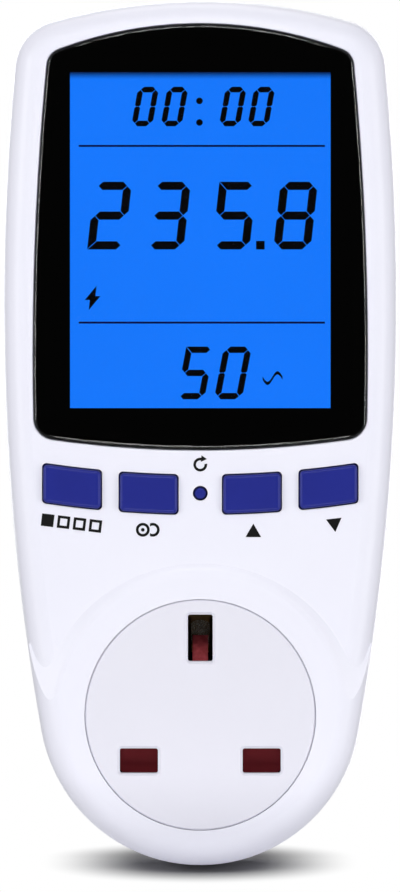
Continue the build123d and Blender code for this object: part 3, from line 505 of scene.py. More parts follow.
def arrow_head(size, angle):
    """A filled triangle with its tip up, turned by an angle."""
    head = flat_disc("head", size / 2, 3)
    low = min(vertex.co.z for vertex in head.data.vertices)
    high = max(vertex.co.z for vertex in head.data.vertices)
    shift(head, z=-(low + high) / 2)
    turn(head, angle)
    return head


arrow_size = sign_height * arrow_share
up_mark = sized_sign([arrow_head(arrow_size, 0.0)], "up_mark", up_sign)
down_mark = sized_sign([arrow_head(arrow_size, math.pi)], "down_mark", down_sign, down_tilt)

# Turned arrow for the reset key
ring = flat_disc("ring", sign_height / 2, ring_sides)
hollow(ring, ink_stroke)
make_active(ring)
bpy.ops.object.mode_set(mode="EDIT")
bpy.ops.mesh.select_all(action="DESELECT")
bpy.ops.object.mode_set(mode="OBJECT")
for face in ring.data.polygons:
    bearing = math.degrees(math.atan2(face.center.z, face.center.x))
    face.select = ring_gap[0] < bearing < ring_gap[1]
bpy.ops.object.mode_set(mode="EDIT")
bpy.ops.mesh.delete(type="FACE")
bpy.ops.object.mode_set(mode="OBJECT")
head = arrow_head(sign_height * ring_head_share, ring_head_turn)
shift(head, x=sign_height * ring_head_place[0], z=sign_height * ring_head_place[1])
reset_mark = sized_sign([ring, head], "reset_mark", reset_sign)

# Coil spring under the shutter: it stands for the plain one.
spring_low, spring_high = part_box("shutter_spring")
spring_radius = (spring_high.x - spring_low.x) / 2 - spring_wire
spring_height = spring_high.z - spring_low.z
clear_selection()
bpy.ops.mesh.primitive_circle_add(
    vertices=spring_wire_sides,
    radius=spring_wire,
    location=(spring_radius, 0, 0),
    rotation=(upright, 0, 0),
)
coil_spring = bpy.context.object
coil_spring.name = "coil_spring"
bpy.ops.object.transform_apply(location=True, rotation=True, scale=True)
winding = coil_spring.modifiers.new("winding", "SCREW")
winding.axis = "Z"
winding.steps = spring_turn_steps
winding.render_steps = spring_turn_steps
winding.iterations = spring_turns
winding.screw_offset = (spring_height - spring_wire - spring_wire) / spring_turns
winding.use_normal_calculate = True
bpy.ops.object.modifier_apply(modifier=winding.name)
bpy.ops.object.mode_set(mode="EDIT")
bpy.ops.mesh.select_all(action="SELECT")
bpy.ops.mesh.fill_holes(sides=0)
bpy.ops.mesh.normals_make_consistent(inside=False)
bpy.ops.object.mode_set(mode="OBJECT")
bpy.ops.object.shade_smooth()
shift(coil_spring, y=(spring_low.y + spring_high.y) / 2, z=spring_low.z + spring_wire)

printed_marks = [menu_mark, coin_mark, up_mark, down_mark, reset_mark]
display_marks = [time_reading, main_reading, low_reading, display_rules, voltage_sign, frequency_sign]


def socket(group, name, kind, direction, default=None):
    """Add a named input or output to a node group."""
    item = group.interface.new_socket(name=name, in_out=direction, socket_type=kind)
    if default is not None:
        item.default_value = default


def start_group(name, inputs, outputs):
    """A shader node group with its input and output nodes."""
    group = bpy.data.node_groups.new(name, "ShaderNodeTree")
    for label, kind, default in inputs:
        socket(group, label, kind, "INPUT", default)
    for label, kind in outputs:
        socket(group, label, kind, "OUTPUT")
    return group, group.nodes.new("NodeGroupInput"), group.nodes.new("NodeGroupOutput")


def node_of(tree, kind, **settings):
    """Add a node; settings are its properties, or its input values by socket name."""
    node = tree.nodes.new(kind)
    for name, value in settings.items():
        if hasattr(node, name):
            setattr(node, name, value)
        else:
            node.inputs[name.replace("_", " ")].default_value = value
    return node


def grain_group():
    """Fine texture of a spark-eroded mould, as a height and a mask."""
    group, given, made = start_group(
        "mould grain",
        [
            ("Vector", "NodeSocketVector", None),
            ("Fineness", "NodeSocketFloat", 2500.0),
            ("Roughness", "NodeSocketFloat", 0.4),
            ("Spread", "NodeSocketFloat", 0.05),
        ],
        [("Height", "NodeSocketFloat"), ("Roughness", "NodeSocketFloat")],
    )
    fine = node_of(group, "ShaderNodeTexNoise", Detail=4.0)
    fine.inputs["Roughness"].default_value = 0.6
    group.links.new(given.outputs["Vector"], fine.inputs["Vector"])
    group.links.new(given.outputs["Fineness"], fine.inputs["Scale"])
    group.links.new(fine.outputs["Fac"], made.inputs["Height"])
    centred = node_of(group, "ShaderNodeMath", operation="SUBTRACT")
    centred.inputs[1].default_value = 0.5
    spread = node_of(group, "ShaderNodeMath", operation="MULTIPLY_ADD")
    group.links.new(fine.outputs["Fac"], centred.inputs[0])
    group.links.new(centred.outputs[0], spread.inputs[0])
    group.links.new(given.outputs["Spread"], spread.inputs[1])
    group.links.new(given.outputs["Roughness"], spread.inputs[2])
    group.links.new(spread.outputs[0], made.inputs["Roughness"])
    return group


def tone_group():
    """Slow change of tone, as the flow of plastic in a mould leaves."""
    group, given, made = start_group(
        "flow tone",
        [
            ("Vector", "NodeSocketVector", None),
            ("Scale", "NodeSocketFloat", 60.0),
            ("Colour", "NodeSocketColor", (1, 1, 1, 1)),
            ("Tint", "NodeSocketColor", (1, 1, 1, 1)),
        ],
        [("Colour", "NodeSocketColor")],
    )
    slow = node_of(group, "ShaderNodeTexNoise", Detail=3.0)
    mix = node_of(group, "ShaderNodeMix", data_type="RGBA")
    group.links.new(given.outputs["Vector"], slow.inputs["Vector"])
    group.links.new(given.outputs["Scale"], slow.inputs["Scale"])
    group.links.new(slow.outputs["Fac"], mix.inputs["Factor"])
    group.links.new(given.outputs["Colour"], mix.inputs["A"])
    group.links.new(given.outputs["Tint"], mix.inputs["B"])
    group.links.new(mix.outputs["Result"], made.inputs["Colour"])
    return group


def streak_group():
    """Fine parallel streaks along one axis, as drawing, brushing or use leaves."""
    group, given, made = start_group(
        "streaks",
        [
            ("Vector", "NodeSocketVector", None),
            ("Fineness", "NodeSocketFloat", 3000.0),
            ("Low", "NodeSocketFloat", 0.0),
            ("High", "NodeSocketFloat", 1.0),
        ],
        [("Value", "NodeSocketFloat")],
    )
    stretch = node_of(group, "ShaderNodeMapping", vector_type="POINT")
    stretch.inputs["Scale"].default_value = (1.0, 0.03, 1.0)
    noise = node_of(group, "ShaderNodeTexNoise", Detail=2.0)
    span = node_of(group, "ShaderNodeMapRange")
    group.links.new(given.outputs["Vector"], stretch.inputs["Vector"])
    group.links.new(stretch.outputs["Vector"], noise.inputs["Vector"])
    group.links.new(given.outputs["Fineness"], noise.inputs["Scale"])
    group.links.new(noise.outputs["Fac"], span.inputs["Value"])
    group.links.new(given.outputs["Low"], span.inputs["To Min"])
    group.links.new(given.outputs["High"], span.inputs["To Max"])
    group.links.new(span.outputs["Result"], made.inputs["Value"])
    return group


def edge_group():
    """Mask of edges, where a rounded normal leaves the true one: wear on metal edges, and a painted
    highlight on key edges.
    """
    group, given, made = start_group(
        "wear and highlight edges",
        [("Width", "NodeSocketFloat", 0.0004), ("Amount", "NodeSocketFloat", 1.0)],
        [("Mask", "NodeSocketFloat")],
    )
    rounded = node_of(group, "ShaderNodeBevel", samples=4)
    true = node_of(group, "ShaderNodeNewGeometry")
    agree = node_of(group, "ShaderNodeVectorMath", operation="DOT_PRODUCT")
    span = node_of(group, "ShaderNodeMapRange")
    span.inputs["From Min"].default_value = 0.99
    span.inputs["From Max"].default_value = 0.8
    group.links.new(given.outputs["Width"], rounded.inputs["Radius"])
    group.links.new(rounded.outputs["Normal"], agree.inputs[0])
    group.links.new(true.outputs["Normal"], agree.inputs[1])
    group.links.new(agree.outputs["Value"], span.inputs["Value"])
    group.links.new(given.outputs["Amount"], span.inputs["To Max"])
    group.links.new(span.outputs["Result"], made.inputs["Mask"])
    return group


mould_grain = grain_group()
flow_tone = tone_group()
streaks = streak_group()
wear_and_highlight_edges = edge_group()


def start_material(name):
    """A new material, its node tree, its shader and its object coordinates."""
    material = bpy.data.materials.new(name)
    material.use_nodes = True
    tree = material.node_tree
    shader = tree.nodes["Principled BSDF"]
    place = tree.nodes.new("ShaderNodeTexCoord").outputs["Object"]
    return material, tree, shader, place


def use_group(tree, group, **values):
    """Place a node group in a material with its values."""
    node = tree.nodes.new("ShaderNodeGroup")
    node.node_tree = group
    for name, value in values.items():
        node.inputs[name].default_value = value
    return node


def rough_skin(tree, shader, place, fineness, roughness, spread, depth):
    """Roughness and bump from the mould grain."""
    grain = use_group(tree, mould_grain, Fineness=fineness, Roughness=roughness, Spread=spread)
    bump = node_of(tree, "ShaderNodeBump", Distance=depth)
    bump.inputs["Strength"].default_value = 1.0
    tree.links.new(place, grain.inputs["Vector"])
    tree.links.new(grain.outputs["Roughness"], shader.inputs["Roughness"])
    tree.links.new(grain.outputs["Height"], bump.inputs["Height"])
    tree.links.new(bump.outputs["Normal"], shader.inputs["Normal"])


def moulded(
    name, colour, tint, roughness=0.42, fineness=2600.0, depth=0.006 * mm, tone_scale=45.0, sheen=0.5
):
    """Moulded plastic: a slow tone, a fine grain and an even sheen."""
    material, tree, shader, place = start_material(name)
    shader.inputs["Specular IOR Level"].default_value = sheen
    tone = use_group(tree, flow_tone, Scale=tone_scale, Colour=(*colour, 1), Tint=(*tint, 1))
    tree.links.new(place, tone.inputs["Vector"])
    tree.links.new(tone.outputs["Colour"], shader.inputs["Base Color"])
    rough_skin(tree, shader, place, fineness, roughness, 0.12, depth)
    return material


def key_with_painted_highlight(name, colour, tint, edge_wear_and_highlight):
    """Satin key plastic, lighter along its edges: a painted highlight on the bevels."""
    material, tree, shader, place = start_material(name)
    shader.inputs["Specular IOR Level"].default_value = 0.25
    tone = use_group(tree, flow_tone, Scale=160.0, Colour=(*colour, 1), Tint=(*tint, 1))
    # Painted highlight: the lighter edge colour is mixed in along the key edges.
    edges = use_group(tree, wear_and_highlight_edges, Width=0.35 * mm, Amount=0.55)
    mix = node_of(tree, "ShaderNodeMix", data_type="RGBA")
    mix.inputs["B"].default_value = (*edge_wear_and_highlight, 1)
    tree.links.new(place, tone.inputs["Vector"])
    tree.links.new(edges.outputs["Mask"], mix.inputs["Factor"])
    tree.links.new(tone.outputs["Colour"], mix.inputs["A"])
    tree.links.new(mix.outputs["Result"], shader.inputs["Base Color"])
    rough_skin(tree, shader, place, 2200.0, 0.38, 0.1, 0.005 * mm)
    return material


def shutter_with_painted_light(name, colour, lit_ramp_colour):
    """Shutter plastic, lighter down the ramp where the earth pin slides down, broken up by noise: painted
    light on the ramp.
    """
    material, tree, shader, place = start_material(name)
    shader.inputs["Specular IOR Level"].default_value = 0.15
    parts = node_of(tree, "ShaderNodeSeparateXYZ")
    # Painted light: a share that grows down the ramp towards its foot, cut off below the foot, times
    # noise.
    ramp = node_of(tree, "ShaderNodeMapRange", interpolation_type="SMOOTHSTEP")
    ramp.inputs["From Min"].default_value = ramp_head
    ramp.inputs["From Max"].default_value = ramp_foot
    above = node_of(tree, "ShaderNodeMath", operation="GREATER_THAN")
    above.inputs[1].default_value = ramp_foot - ramp_foot_margin
    light_mottle = node_of(tree, "ShaderNodeTexNoise", Scale=900.0, Detail=3.0)
    strength = node_of(tree, "ShaderNodeMath", operation="MULTIPLY")
    painted_light_share = node_of(tree, "ShaderNodeMath", operation="MULTIPLY", use_clamp=True)
    mix = node_of(tree, "ShaderNodeMix", data_type="RGBA")
    mix.inputs["A"].default_value = (*colour, 1)
    mix.inputs["B"].default_value = (*lit_ramp_colour, 1)
    tree.links.new(place, parts.inputs["Vector"])
    tree.links.new(place, light_mottle.inputs["Vector"])
    tree.links.new(parts.outputs["Z"], ramp.inputs["Value"])
    tree.links.new(parts.outputs["Z"], above.inputs[0])
    tree.links.new(ramp.outputs["Result"], strength.inputs[0])
    tree.links.new(above.outputs[0], strength.inputs[1])
    tree.links.new(strength.outputs[0], painted_light_share.inputs[0])
    tree.links.new(light_mottle.outputs["Fac"], painted_light_share.inputs[1])
    tree.links.new(painted_light_share.outputs[0], mix.inputs["Factor"])
    tree.links.new(mix.outputs["Result"], shader.inputs["Base Color"])
    rough_skin(tree, shader, place, 1100.0, 0.45, 0.2, 0.04 * mm)
    return material


def metal(name, colour, tint, roughness, edge_wear_and_highlight=None, depth=0.002 * mm):
    """Metal with fine streaks along its length, and edges of a second colour where one is given, as wear
    leaves them.
    """
    material, tree, shader, place = start_material(name)
    shader.inputs["Metallic"].default_value = 1.0
    tone = use_group(tree, flow_tone, Scale=220.0, Colour=(*colour, 1), Tint=(*tint, 1))
    line = use_group(tree, streaks, Fineness=4200.0, Low=roughness * 0.7, High=roughness * 1.4)
    bump = node_of(tree, "ShaderNodeBump", Distance=depth)
    tree.links.new(place, tone.inputs["Vector"])
    tree.links.new(place, line.inputs["Vector"])
    tree.links.new(line.outputs["Value"], shader.inputs["Roughness"])
    tree.links.new(line.outputs["Value"], bump.inputs["Height"])
    tree.links.new(bump.outputs["Normal"], shader.inputs["Normal"])
    if edge_wear_and_highlight:
        edges = use_group(tree, wear_and_highlight_edges, Width=0.3 * mm, Amount=0.8)
        mix = node_of(tree, "ShaderNodeMix", data_type="RGBA")
        mix.inputs["B"].default_value = (*edge_wear_and_highlight, 1)
        tree.links.new(edges.outputs["Mask"], mix.inputs["Factor"])
        tree.links.new(tone.outputs["Colour"], mix.inputs["A"])
        tree.links.new(mix.outputs["Result"], shader.inputs["Base Color"])
    else:
        tree.links.new(tone.outputs["Colour"], shader.inputs["Base Color"])
    return material


def clear_window(name):
    """Clear acrylic with the faintest of hairlines."""
    material, tree, shader, place = start_material(name)
    shader.inputs["Transmission Weight"].default_value = 1.0
    shader.inputs["IOR"].default_value = 1.49
    shader.inputs["Specular IOR Level"].default_value = 0.4
    shader.inputs["Base Color"].default_value = (1.0, 1.0, 1.0, 1)
    line = use_group(tree, streaks, Fineness=5000.0, Low=0.01, High=0.05)
    tree.links.new(place, line.inputs["Vector"])
    tree.links.new(line.outputs["Value"], shader.inputs["Roughness"])
    return material


def cell_glass(name, tint):
    """Thin glass of the display cell, with a faint tint."""
    material, tree, shader, place = start_material(name)
    shader.inputs["Transmission Weight"].default_value = 0.9
    shader.inputs["IOR"].default_value = 1.52
    tone = use_group(tree, flow_tone, Scale=90.0, Colour=(*tint, 1), Tint=(0.9, 0.95, 1.0, 1))
    line = use_group(tree, streaks, Fineness=4000.0, Low=0.02, High=0.06)
    tree.links.new(place, tone.inputs["Vector"])
    tree.links.new(place, line.inputs["Vector"])
    tree.links.new(tone.outputs["Colour"], shader.inputs["Base Color"])
    tree.links.new(line.outputs["Value"], shader.inputs["Roughness"])
    return material


def lit_film(name, colour, shade, top, fall, strength):
    """Film lit from behind: an even glow that turns to a second colour under its upper edge. On the
    polariser that second colour is darker, painted shade for the shadow under the window's upper edge.
    """
    material, tree, shader, place = start_material(name)
    shader.inputs["Base Color"].default_value = (0.002, 0.006, 0.03, 1)
    shader.inputs["Specular IOR Level"].default_value = 0.05
    shader.inputs["Emission Strength"].default_value = strength
    parts = node_of(tree, "ShaderNodeSeparateXYZ")
    span = node_of(tree, "ShaderNodeMapRange", interpolation_type="SMOOTHSTEP")
    span.inputs["From Min"].default_value = top - fall
    span.inputs["From Max"].default_value = top
    mix = node_of(tree, "ShaderNodeMix", data_type="RGBA")
    mix.inputs["B"].default_value = (*shade, 1)
    tone = use_group(
        tree, flow_tone, Scale=30.0, Colour=(*colour, 1), Tint=(*(c * 0.93 for c in colour), 1)
    )
    tree.links.new(place, tone.inputs["Vector"])
    tree.links.new(place, parts.inputs["Vector"])
    tree.links.new(parts.outputs["Z"], span.inputs["Value"])
    tree.links.new(span.outputs["Result"], mix.inputs["Factor"])
    tree.links.new(tone.outputs["Colour"], mix.inputs["A"])
    tree.links.new(mix.outputs["Result"], shader.inputs["Emission Color"])
    rough_skin(tree, shader, place, 1500.0, 0.35, 0.05, 0.001 * mm)
    return material


def board_laminate(name, colour, track_colour, track_width):
    """Circuit board: laminate under solder mask, with printed tracks."""
    material, tree, shader, place = start_material(name)
    face = node_of(tree, "ShaderNodeMapping")
    face.inputs["Rotation"].default_value = (math.radians(90), 0, 0)
    tracks = node_of(tree, "ShaderNodeTexBrick", offset=0.37, squash=1.4, squash_frequency=3)
    tracks.inputs["Scale"].default_value = 1.0
    tracks.inputs["Mortar Size"].default_value = track_width
    tracks.inputs["Mortar Smooth"].default_value = 0.1
    tracks.inputs["Brick Width"].default_value = 6.1 * mm
    tracks.inputs["Row Height"].default_value = 1.9 * mm
    mix = node_of(tree, "ShaderNodeMix", data_type="RGBA")
    mix.inputs["B"].default_value = (*track_colour, 1)
    tone = use_group(
        tree, flow_tone, Scale=400.0, Colour=(*colour, 1), Tint=(*(c * 0.8 for c in colour), 1)
    )
    tree.links.new(place, face.inputs["Vector"])
    tree.links.new(face.outputs["Vector"], tracks.inputs["Vector"])
    tree.links.new(place, tone.inputs["Vector"])
    tree.links.new(tone.outputs["Colour"], mix.inputs["A"])
    tree.links.new(tracks.outputs["Fac"], mix.inputs["Factor"])
    tree.links.new(mix.outputs["Result"], shader.inputs["Base Color"])
    rough_skin(tree, shader, place, 1800.0, 0.3, 0.1, 0.004 * mm)
    return material


def striped(name, colour, stripe, pitch):
    """Parallel conductors side by side, as in a ribbon cable or a layered connector."""
    material, tree, shader, place = start_material(name)
    parts = node_of(tree, "ShaderNodeSeparateXYZ")
    phase = node_of(tree, "ShaderNodeMath", operation="MULTIPLY")
    phase.inputs[1].default_value = 2 * math.pi / pitch
    swing = node_of(tree, "ShaderNodeMath", operation="SINE")
    span = node_of(tree, "ShaderNodeMapRange", interpolation_type="SMOOTHSTEP")
    span.inputs["From Min"].default_value = -0.9
    span.inputs["From Max"].default_value = -0.3
    mix = node_of(tree, "ShaderNodeMix", data_type="RGBA")
    mix.inputs["A"].default_value = (*stripe, 1)
    mix.inputs["B"].default_value = (*colour, 1)
    bump = node_of(tree, "ShaderNodeBump", Distance=0.1 * mm)
    tree.links.new(place, parts.inputs["Vector"])
    tree.links.new(parts.outputs["X"], phase.inputs[0])
    tree.links.new(phase.outputs[0], swing.inputs[0])
    tree.links.new(swing.outputs[0], span.inputs["Value"])
    tree.links.new(span.outputs["Result"], mix.inputs["Factor"])
    tree.links.new(mix.outputs["Result"], shader.inputs["Base Color"])
    tree.links.new(swing.outputs[0], bump.inputs["Height"])
    tree.links.new(bump.outputs["Normal"], shader.inputs["Normal"])
    shader.inputs["Roughness"].default_value = 0.45
    return material


def gloss_coat(name, colour, tint, roughness=0.2):
    """Dipped, potted or moulded coating with a gloss and faint runs."""
    return moulded(name, colour, tint, roughness, 700.0, 0.01 * mm, 180.0)


# One finish for each material slot of the record
finishes = {
    "casing_white": moulded("casing white", (0.83, 0.83, 0.92), (0.8, 0.8, 0.9)),
    "insert_white": moulded("insert white", (0.76, 0.755, 0.84), (0.74, 0.735, 0.82), 0.36),
    "window_clear": clear_window("window clear"),
    "mask_black": moulded("mask black", (0.002, 0.002, 0.003), (0.003, 0.003, 0.004), 0.5),
    # The keys' lighter edge colour is a painted highlight.
    "key_blue": key_with_painted_highlight("key blue", (0.012, 0.02, 0.25), (0.01, 0.016, 0.21), (0.04, 0.06, 0.4)),
    # The shutter's lighter ramp is painted light.
    "shutter_red": shutter_with_painted_light("shutter red", (0.15, 0.008, 0.012), (0.62, 0.1, 0.11)),
    "pin_brass": metal("pin nickel", (0.62, 0.56, 0.44), (0.7, 0.64, 0.52), 0.25, (0.72, 0.5, 0.2)),
    "contact_brass": metal("contact brass", (0.75, 0.5, 0.2), (0.65, 0.42, 0.16), 0.3),
    "shunt_alloy": metal("shunt alloy", (0.5, 0.42, 0.37), (0.42, 0.36, 0.32), 0.4),
    "sleeve_black": moulded("sleeve black", (0.012, 0.012, 0.013), (0.02, 0.02, 0.02), 0.45),
    # Carrier grey is set near black: painted shade for the dark inside of the earth aperture.
    "carrier_grey": moulded(
        "carrier grey", (0.012, 0.012, 0.013), (0.018, 0.018, 0.02), 0.5, sheen=0.2
    ),
    "board_green": board_laminate("board green", (0.01, 0.1, 0.04), (0.02, 0.2, 0.07), 0.5 * mm),
    "board_tan": board_laminate("board tan", (0.32, 0.19, 0.08), (0.42, 0.27, 0.12), 0.8 * mm),
    "lcd_glass": cell_glass("cell glass", (0.75, 0.85, 0.95)),
    # The lit polariser's darker band under its upper edge is painted shade, in place of the shadow under
    # the window's edge.
    "polariser": lit_film(
        "lit polariser",
        (0.006, 0.19, 1.0),
        (0.0, 0.006, 0.03),
        display_high.z - 0.9 * mm,
        1.7 * mm,
        1.07,
    ),
    "guide_clear": lit_film(
        "light guide", (0.05, 0.3, 1.0), (0.3, 0.6, 1.0), display_high.z, 3 * mm, 0.8
    ),
    "reflector_white": gloss_coat("reflector film", (0.85, 0.85, 0.88), (0.8, 0.8, 0.85)),
    "frame_white": moulded("frame white", (0.7, 0.7, 0.7), (0.65, 0.65, 0.66), 0.5),
    "led_blue": lit_film(
        "emitter", (0.1, 0.35, 1.0), (0.5, 0.75, 1.0), display_high.z + mm, mm, 2.0
    ),
    "elastomer": striped("layered connector", (0.5, 0.28, 0.3), (0.03, 0.03, 0.03), 0.6 * mm),
    "epoxy_black": gloss_coat("epoxy black", (0.006, 0.006, 0.007), (0.012, 0.012, 0.012), 0.3),
    "header_cream": moulded("header cream", (0.7, 0.64, 0.5), (0.64, 0.58, 0.45), 0.45),
    "ribbon_grey": striped("ribbon grey", (0.4, 0.41, 0.43), (0.2, 0.2, 0.22), 1.27 * mm),
    "film_yellow": gloss_coat("film capacitor", (0.7, 0.46, 0.03), (0.62, 0.4, 0.03), 0.3),
    "varistor_blue": gloss_coat("varistor blue", (0.02, 0.09, 0.35), (0.02, 0.07, 0.3)),
    "resistor_body": gloss_coat("resistor lacquer", (0.15, 0.36, 0.34), (0.12, 0.3, 0.3), 0.35),
    "can_sleeve": gloss_coat("can sleeve", (0.01, 0.01, 0.02), (0.02, 0.02, 0.03)),
    "crystal_can": metal("crystal can", (0.62, 0.62, 0.63), (0.55, 0.55, 0.57), 0.2),
    "cell_steel": metal("cell steel", (0.6, 0.6, 0.6), (0.52, 0.52, 0.53), 0.22),
    "steel": metal("screw steel", (0.55, 0.55, 0.55), (0.46, 0.46, 0.48), 0.3, (0.7, 0.7, 0.7)),
    "spring_steel": metal("spring steel", (0.45, 0.45, 0.47), (0.38, 0.38, 0.4), 0.3),
    "wire_red": gloss_coat("wire red", (0.42, 0.01, 0.01), (0.36, 0.01, 0.01), 0.32),
    "wire_blue": gloss_coat("wire blue", (0.01, 0.08, 0.42), (0.01, 0.07, 0.36), 0.32),
    "wire_yellow": gloss_coat("wire yellow", (0.62, 0.45, 0.01), (0.55, 0.4, 0.01), 0.32),
    "switch_black": moulded("switch black", (0.012, 0.012, 0.013), (0.02, 0.02, 0.02), 0.4),
    "plunger_white": moulded("plunger white", (0.6, 0.6, 0.6), (0.55, 0.55, 0.56), 0.4),
}
for part in frame["record"]["subparts"]:
    frame["nodes"][part["node"]].material_slots[0].material = finishes[part["material_slot"]]

segment_ink = moulded("segment ink", (0.001, 0.001, 0.003), (0.001, 0.001, 0.002), 0.6, sheen=0.0)
rule_ink = moulded("rule ink", (0.004, 0.002, 0.1), (0.003, 0.002, 0.08), 0.6, sheen=0.0)
key_ink = moulded("key ink", (0.003, 0.003, 0.003), (0.006, 0.006, 0.006), 0.55, sheen=0.15)
for mark in printed_marks:
    mark.data.materials.append(key_ink)
for mark in display_marks:
    mark.data.materials.append(rule_ink if mark is display_rules else segment_ink)
for mark in printed_marks + display_marks:
    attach(mark, "housing")

coil_spring.data.materials.append(finishes["spring_steel"])
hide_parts("shutter_spring")
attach(coil_spring, "housing")
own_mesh(coil_spring)

# Camera in front, a little above the middle of the object
scene = bpy.context.scene
camera_data = bpy.data.cameras.new("camera")
camera_data.sensor_fit = "VERTICAL"
camera_data.sensor_height = sensor_height
view_height = picture_height / pixels_per_mm * mm
camera_data.lens = sensor_height * camera_distance / view_height
camera_data.clip_end = camera_sight
camera = bpy.data.objects.new("camera", camera_data)
camera.location = (
    picture_middle_offset,
    scale_plane - camera_distance * math.cos(camera_pitch),
    picture_middle_height + camera_distance * math.sin(camera_pitch),
)
camera.rotation_euler = (math.radians(90) - camera_pitch, 0, 0)
scene.collection.objects.link(camera)
scene.camera = camera


def lamp(name, bearing, height_angle, distance, width, height, power):
    """A soft lamp at a bearing from the front and a height angle, turned towards the object."""
    data = bpy.data.lights.new(name, "AREA")
    data.shape = "RECTANGLE"
    data.size = width
    data.size_y = height
    data.energy = power
    turn_z = math.radians(bearing)
    rise = math.radians(height_angle)
    away = Vector((math.sin(turn_z) * math.cos(rise), -math.cos(turn_z) * math.cos(rise), math.sin(rise)))
    light = bpy.data.objects.new(name, data)
    light.location = object_middle + away * distance
    light.rotation_euler = (-away).to_track_quat("-Z", "Y").to_euler()
    scene.collection.objects.link(light)


object_middle = Vector((0, cover_low.y / 2, (cover_low.z + cover_high.z) / 2))
for lamp_name, lamp_setting in lamps.items():
    lamp(lamp_name, *lamp_setting)

# World: white behind the object. Reflections and glass see a pale backdrop and a dim room
# behind the camera.
world = bpy.data.worlds.new("studio")
world.use_nodes = True
scene.world = world
tree = world.node_tree
background = tree.nodes["Background"]
light_path = tree.nodes.new("ShaderNodeLightPath")
direction = tree.nodes.new("ShaderNodeTexCoord")
axes = tree.nodes.new("ShaderNodeSeparateXYZ")
room = node_of(tree, "ShaderNodeMapRange", interpolation_type="SMOOTHSTEP")
room.inputs["From Min"].default_value = room_dim_end
room.inputs["From Max"].default_value = room_pale_start
room.inputs["To Min"].default_value = room_dim
room.inputs["To Max"].default_value = room_pale
mirrored = node_of(tree, "ShaderNodeMath", operation="MAXIMUM")
reflected = node_of(tree, "ShaderNodeMix", data_type="FLOAT")
reflected.inputs["A"].default_value = ambient_level
level = node_of(tree, "ShaderNodeMix", data_type="FLOAT")
level.inputs["B"].default_value = 1.0
tree.links.new(direction.outputs["Generated"], axes.inputs["Vector"])
tree.links.new(axes.outputs["Y"], room.inputs["Value"])
tree.links.new(light_path.outputs["Is Glossy Ray"], mirrored.inputs[0])
tree.links.new(light_path.outputs["Is Transmission Ray"], mirrored.inputs[1])
tree.links.new(mirrored.outputs[0], reflected.inputs["Factor"])
tree.links.new(room.outputs["Result"], reflected.inputs["B"])
tree.links.new(light_path.outputs["Is Camera Ray"], level.inputs["Factor"])
tree.links.new(reflected.outputs["Result"], level.inputs["A"])
background.inputs["Color"].default_value = (1, 1, 1, 1)
tree.links.new(level.outputs["Result"], background.inputs["Strength"])

# Pale floor under the round lower end. It slopes gently down in front of the object and up behind it, so
# that the soft shadow shows. For the camera it is grey near the object, a painted shadow under the lamps'
# real one, and away from the object it is as white as the backdrop.
clear_selection()
bpy.ops.mesh.primitive_plane_add(
    size=1, location=(0, cover_low.y / 2, cad_bounds[0][2] - floor_gap)
)
floor = bpy.context.object
floor.name = "floor"
floor.scale = (floor_width, floor_depth, 1)
bpy.ops.object.mode_set(mode="EDIT")
bpy.ops.mesh.subdivide(number_cuts=floor_cuts)
bpy.ops.object.mode_set(mode="OBJECT")
bpy.ops.object.transform_apply(location=True, rotation=True, scale=True)
for vertex in floor.data.vertices:
    before = max(0.0, slope_front - vertex.co.y)
    behind = max(0.0, vertex.co.y - slope_back)
    vertex.co.z -= floor_fall * before * before / (before + floor_bend)
    vertex.co.z += floor_rise * behind * behind / (behind + floor_bend)
floor_material, tree, shader, place = start_material("pale floor")
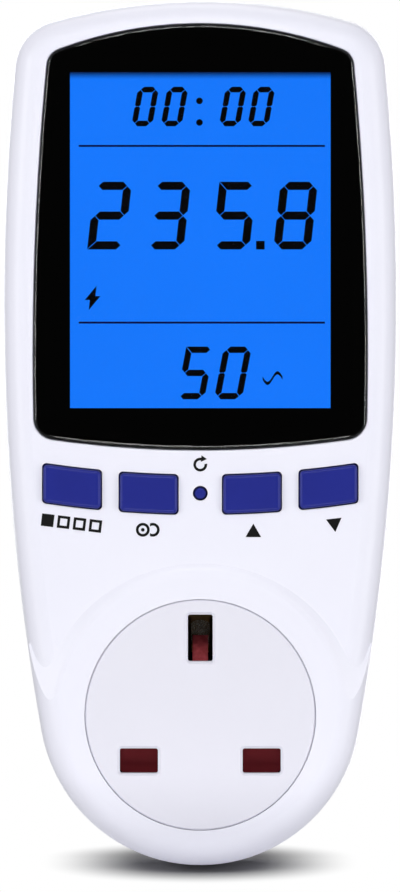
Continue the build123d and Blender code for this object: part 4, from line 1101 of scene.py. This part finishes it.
# The camera sees the darker painted floor shade; other rays see the pale bounce colour.
floor_tone = node_of(tree, "ShaderNodeMix", data_type="RGBA")
floor_tone.inputs["A"].default_value = floor_bounce
floor_tone.inputs["B"].default_value = painted_floor_shade
shader.inputs["Roughness"].default_value = 0.9
shader.inputs["Specular IOR Level"].default_value = 0.0
centred = node_of(tree, "ShaderNodeMapping", vector_type="TEXTURE")
centred.inputs["Location"].default_value = (0, cover_low.y / 2, cad_bounds[0][2])
centred.inputs["Scale"].default_value = (shadow_half_width, 1, shadow_half_height)
distance = node_of(tree, "ShaderNodeVectorMath", operation="LENGTH")
spread = node_of(tree, "ShaderNodeMapRange", interpolation_type="SMOOTHSTEP")
spread.inputs["From Min"].default_value = shadow_heart
spread.inputs["From Max"].default_value = shadow_edge
rays = tree.nodes.new("ShaderNodeLightPath")
shown = node_of(tree, "ShaderNodeMath", operation="MAXIMUM")
shown_or_clear = node_of(tree, "ShaderNodeMath", operation="MAXIMUM")
whitened = node_of(tree, "ShaderNodeMath", operation="MULTIPLY")
white = tree.nodes.new("ShaderNodeEmission")
blend = tree.nodes.new("ShaderNodeMixShader")
face_side = tree.nodes.new("ShaderNodeNewGeometry")
clear = tree.nodes.new("ShaderNodeBsdfTransparent")
from_below = tree.nodes.new("ShaderNodeMixShader")
output = tree.nodes["Material Output"]
tree.links.new(rays.outputs["Is Camera Ray"], floor_tone.inputs["Factor"])
tree.links.new(floor_tone.outputs["Result"], shader.inputs["Base Color"])
tree.links.new(place, centred.inputs["Vector"])
tree.links.new(centred.outputs["Vector"], distance.inputs[0])
tree.links.new(distance.outputs["Value"], spread.inputs["Value"])
tree.links.new(rays.outputs["Is Camera Ray"], shown.inputs[0])
tree.links.new(rays.outputs["Is Glossy Ray"], shown.inputs[1])
tree.links.new(shown.outputs[0], shown_or_clear.inputs[0])
tree.links.new(rays.outputs["Is Transmission Ray"], shown_or_clear.inputs[1])
tree.links.new(spread.outputs["Result"], whitened.inputs[0])
tree.links.new(shown_or_clear.outputs[0], whitened.inputs[1])
tree.links.new(whitened.outputs[0], blend.inputs["Fac"])
tree.links.new(shader.outputs["BSDF"], blend.inputs[1])
tree.links.new(white.outputs["Emission"], blend.inputs[2])
tree.links.new(face_side.outputs["Backfacing"], from_below.inputs["Fac"])
tree.links.new(blend.outputs["Shader"], from_below.inputs[1])
tree.links.new(clear.outputs["BSDF"], from_below.inputs[2])
tree.links.new(from_below.outputs["Shader"], output.inputs["Surface"])
floor.data.materials.append(floor_material)

scene.view_settings.view_transform = "Standard"
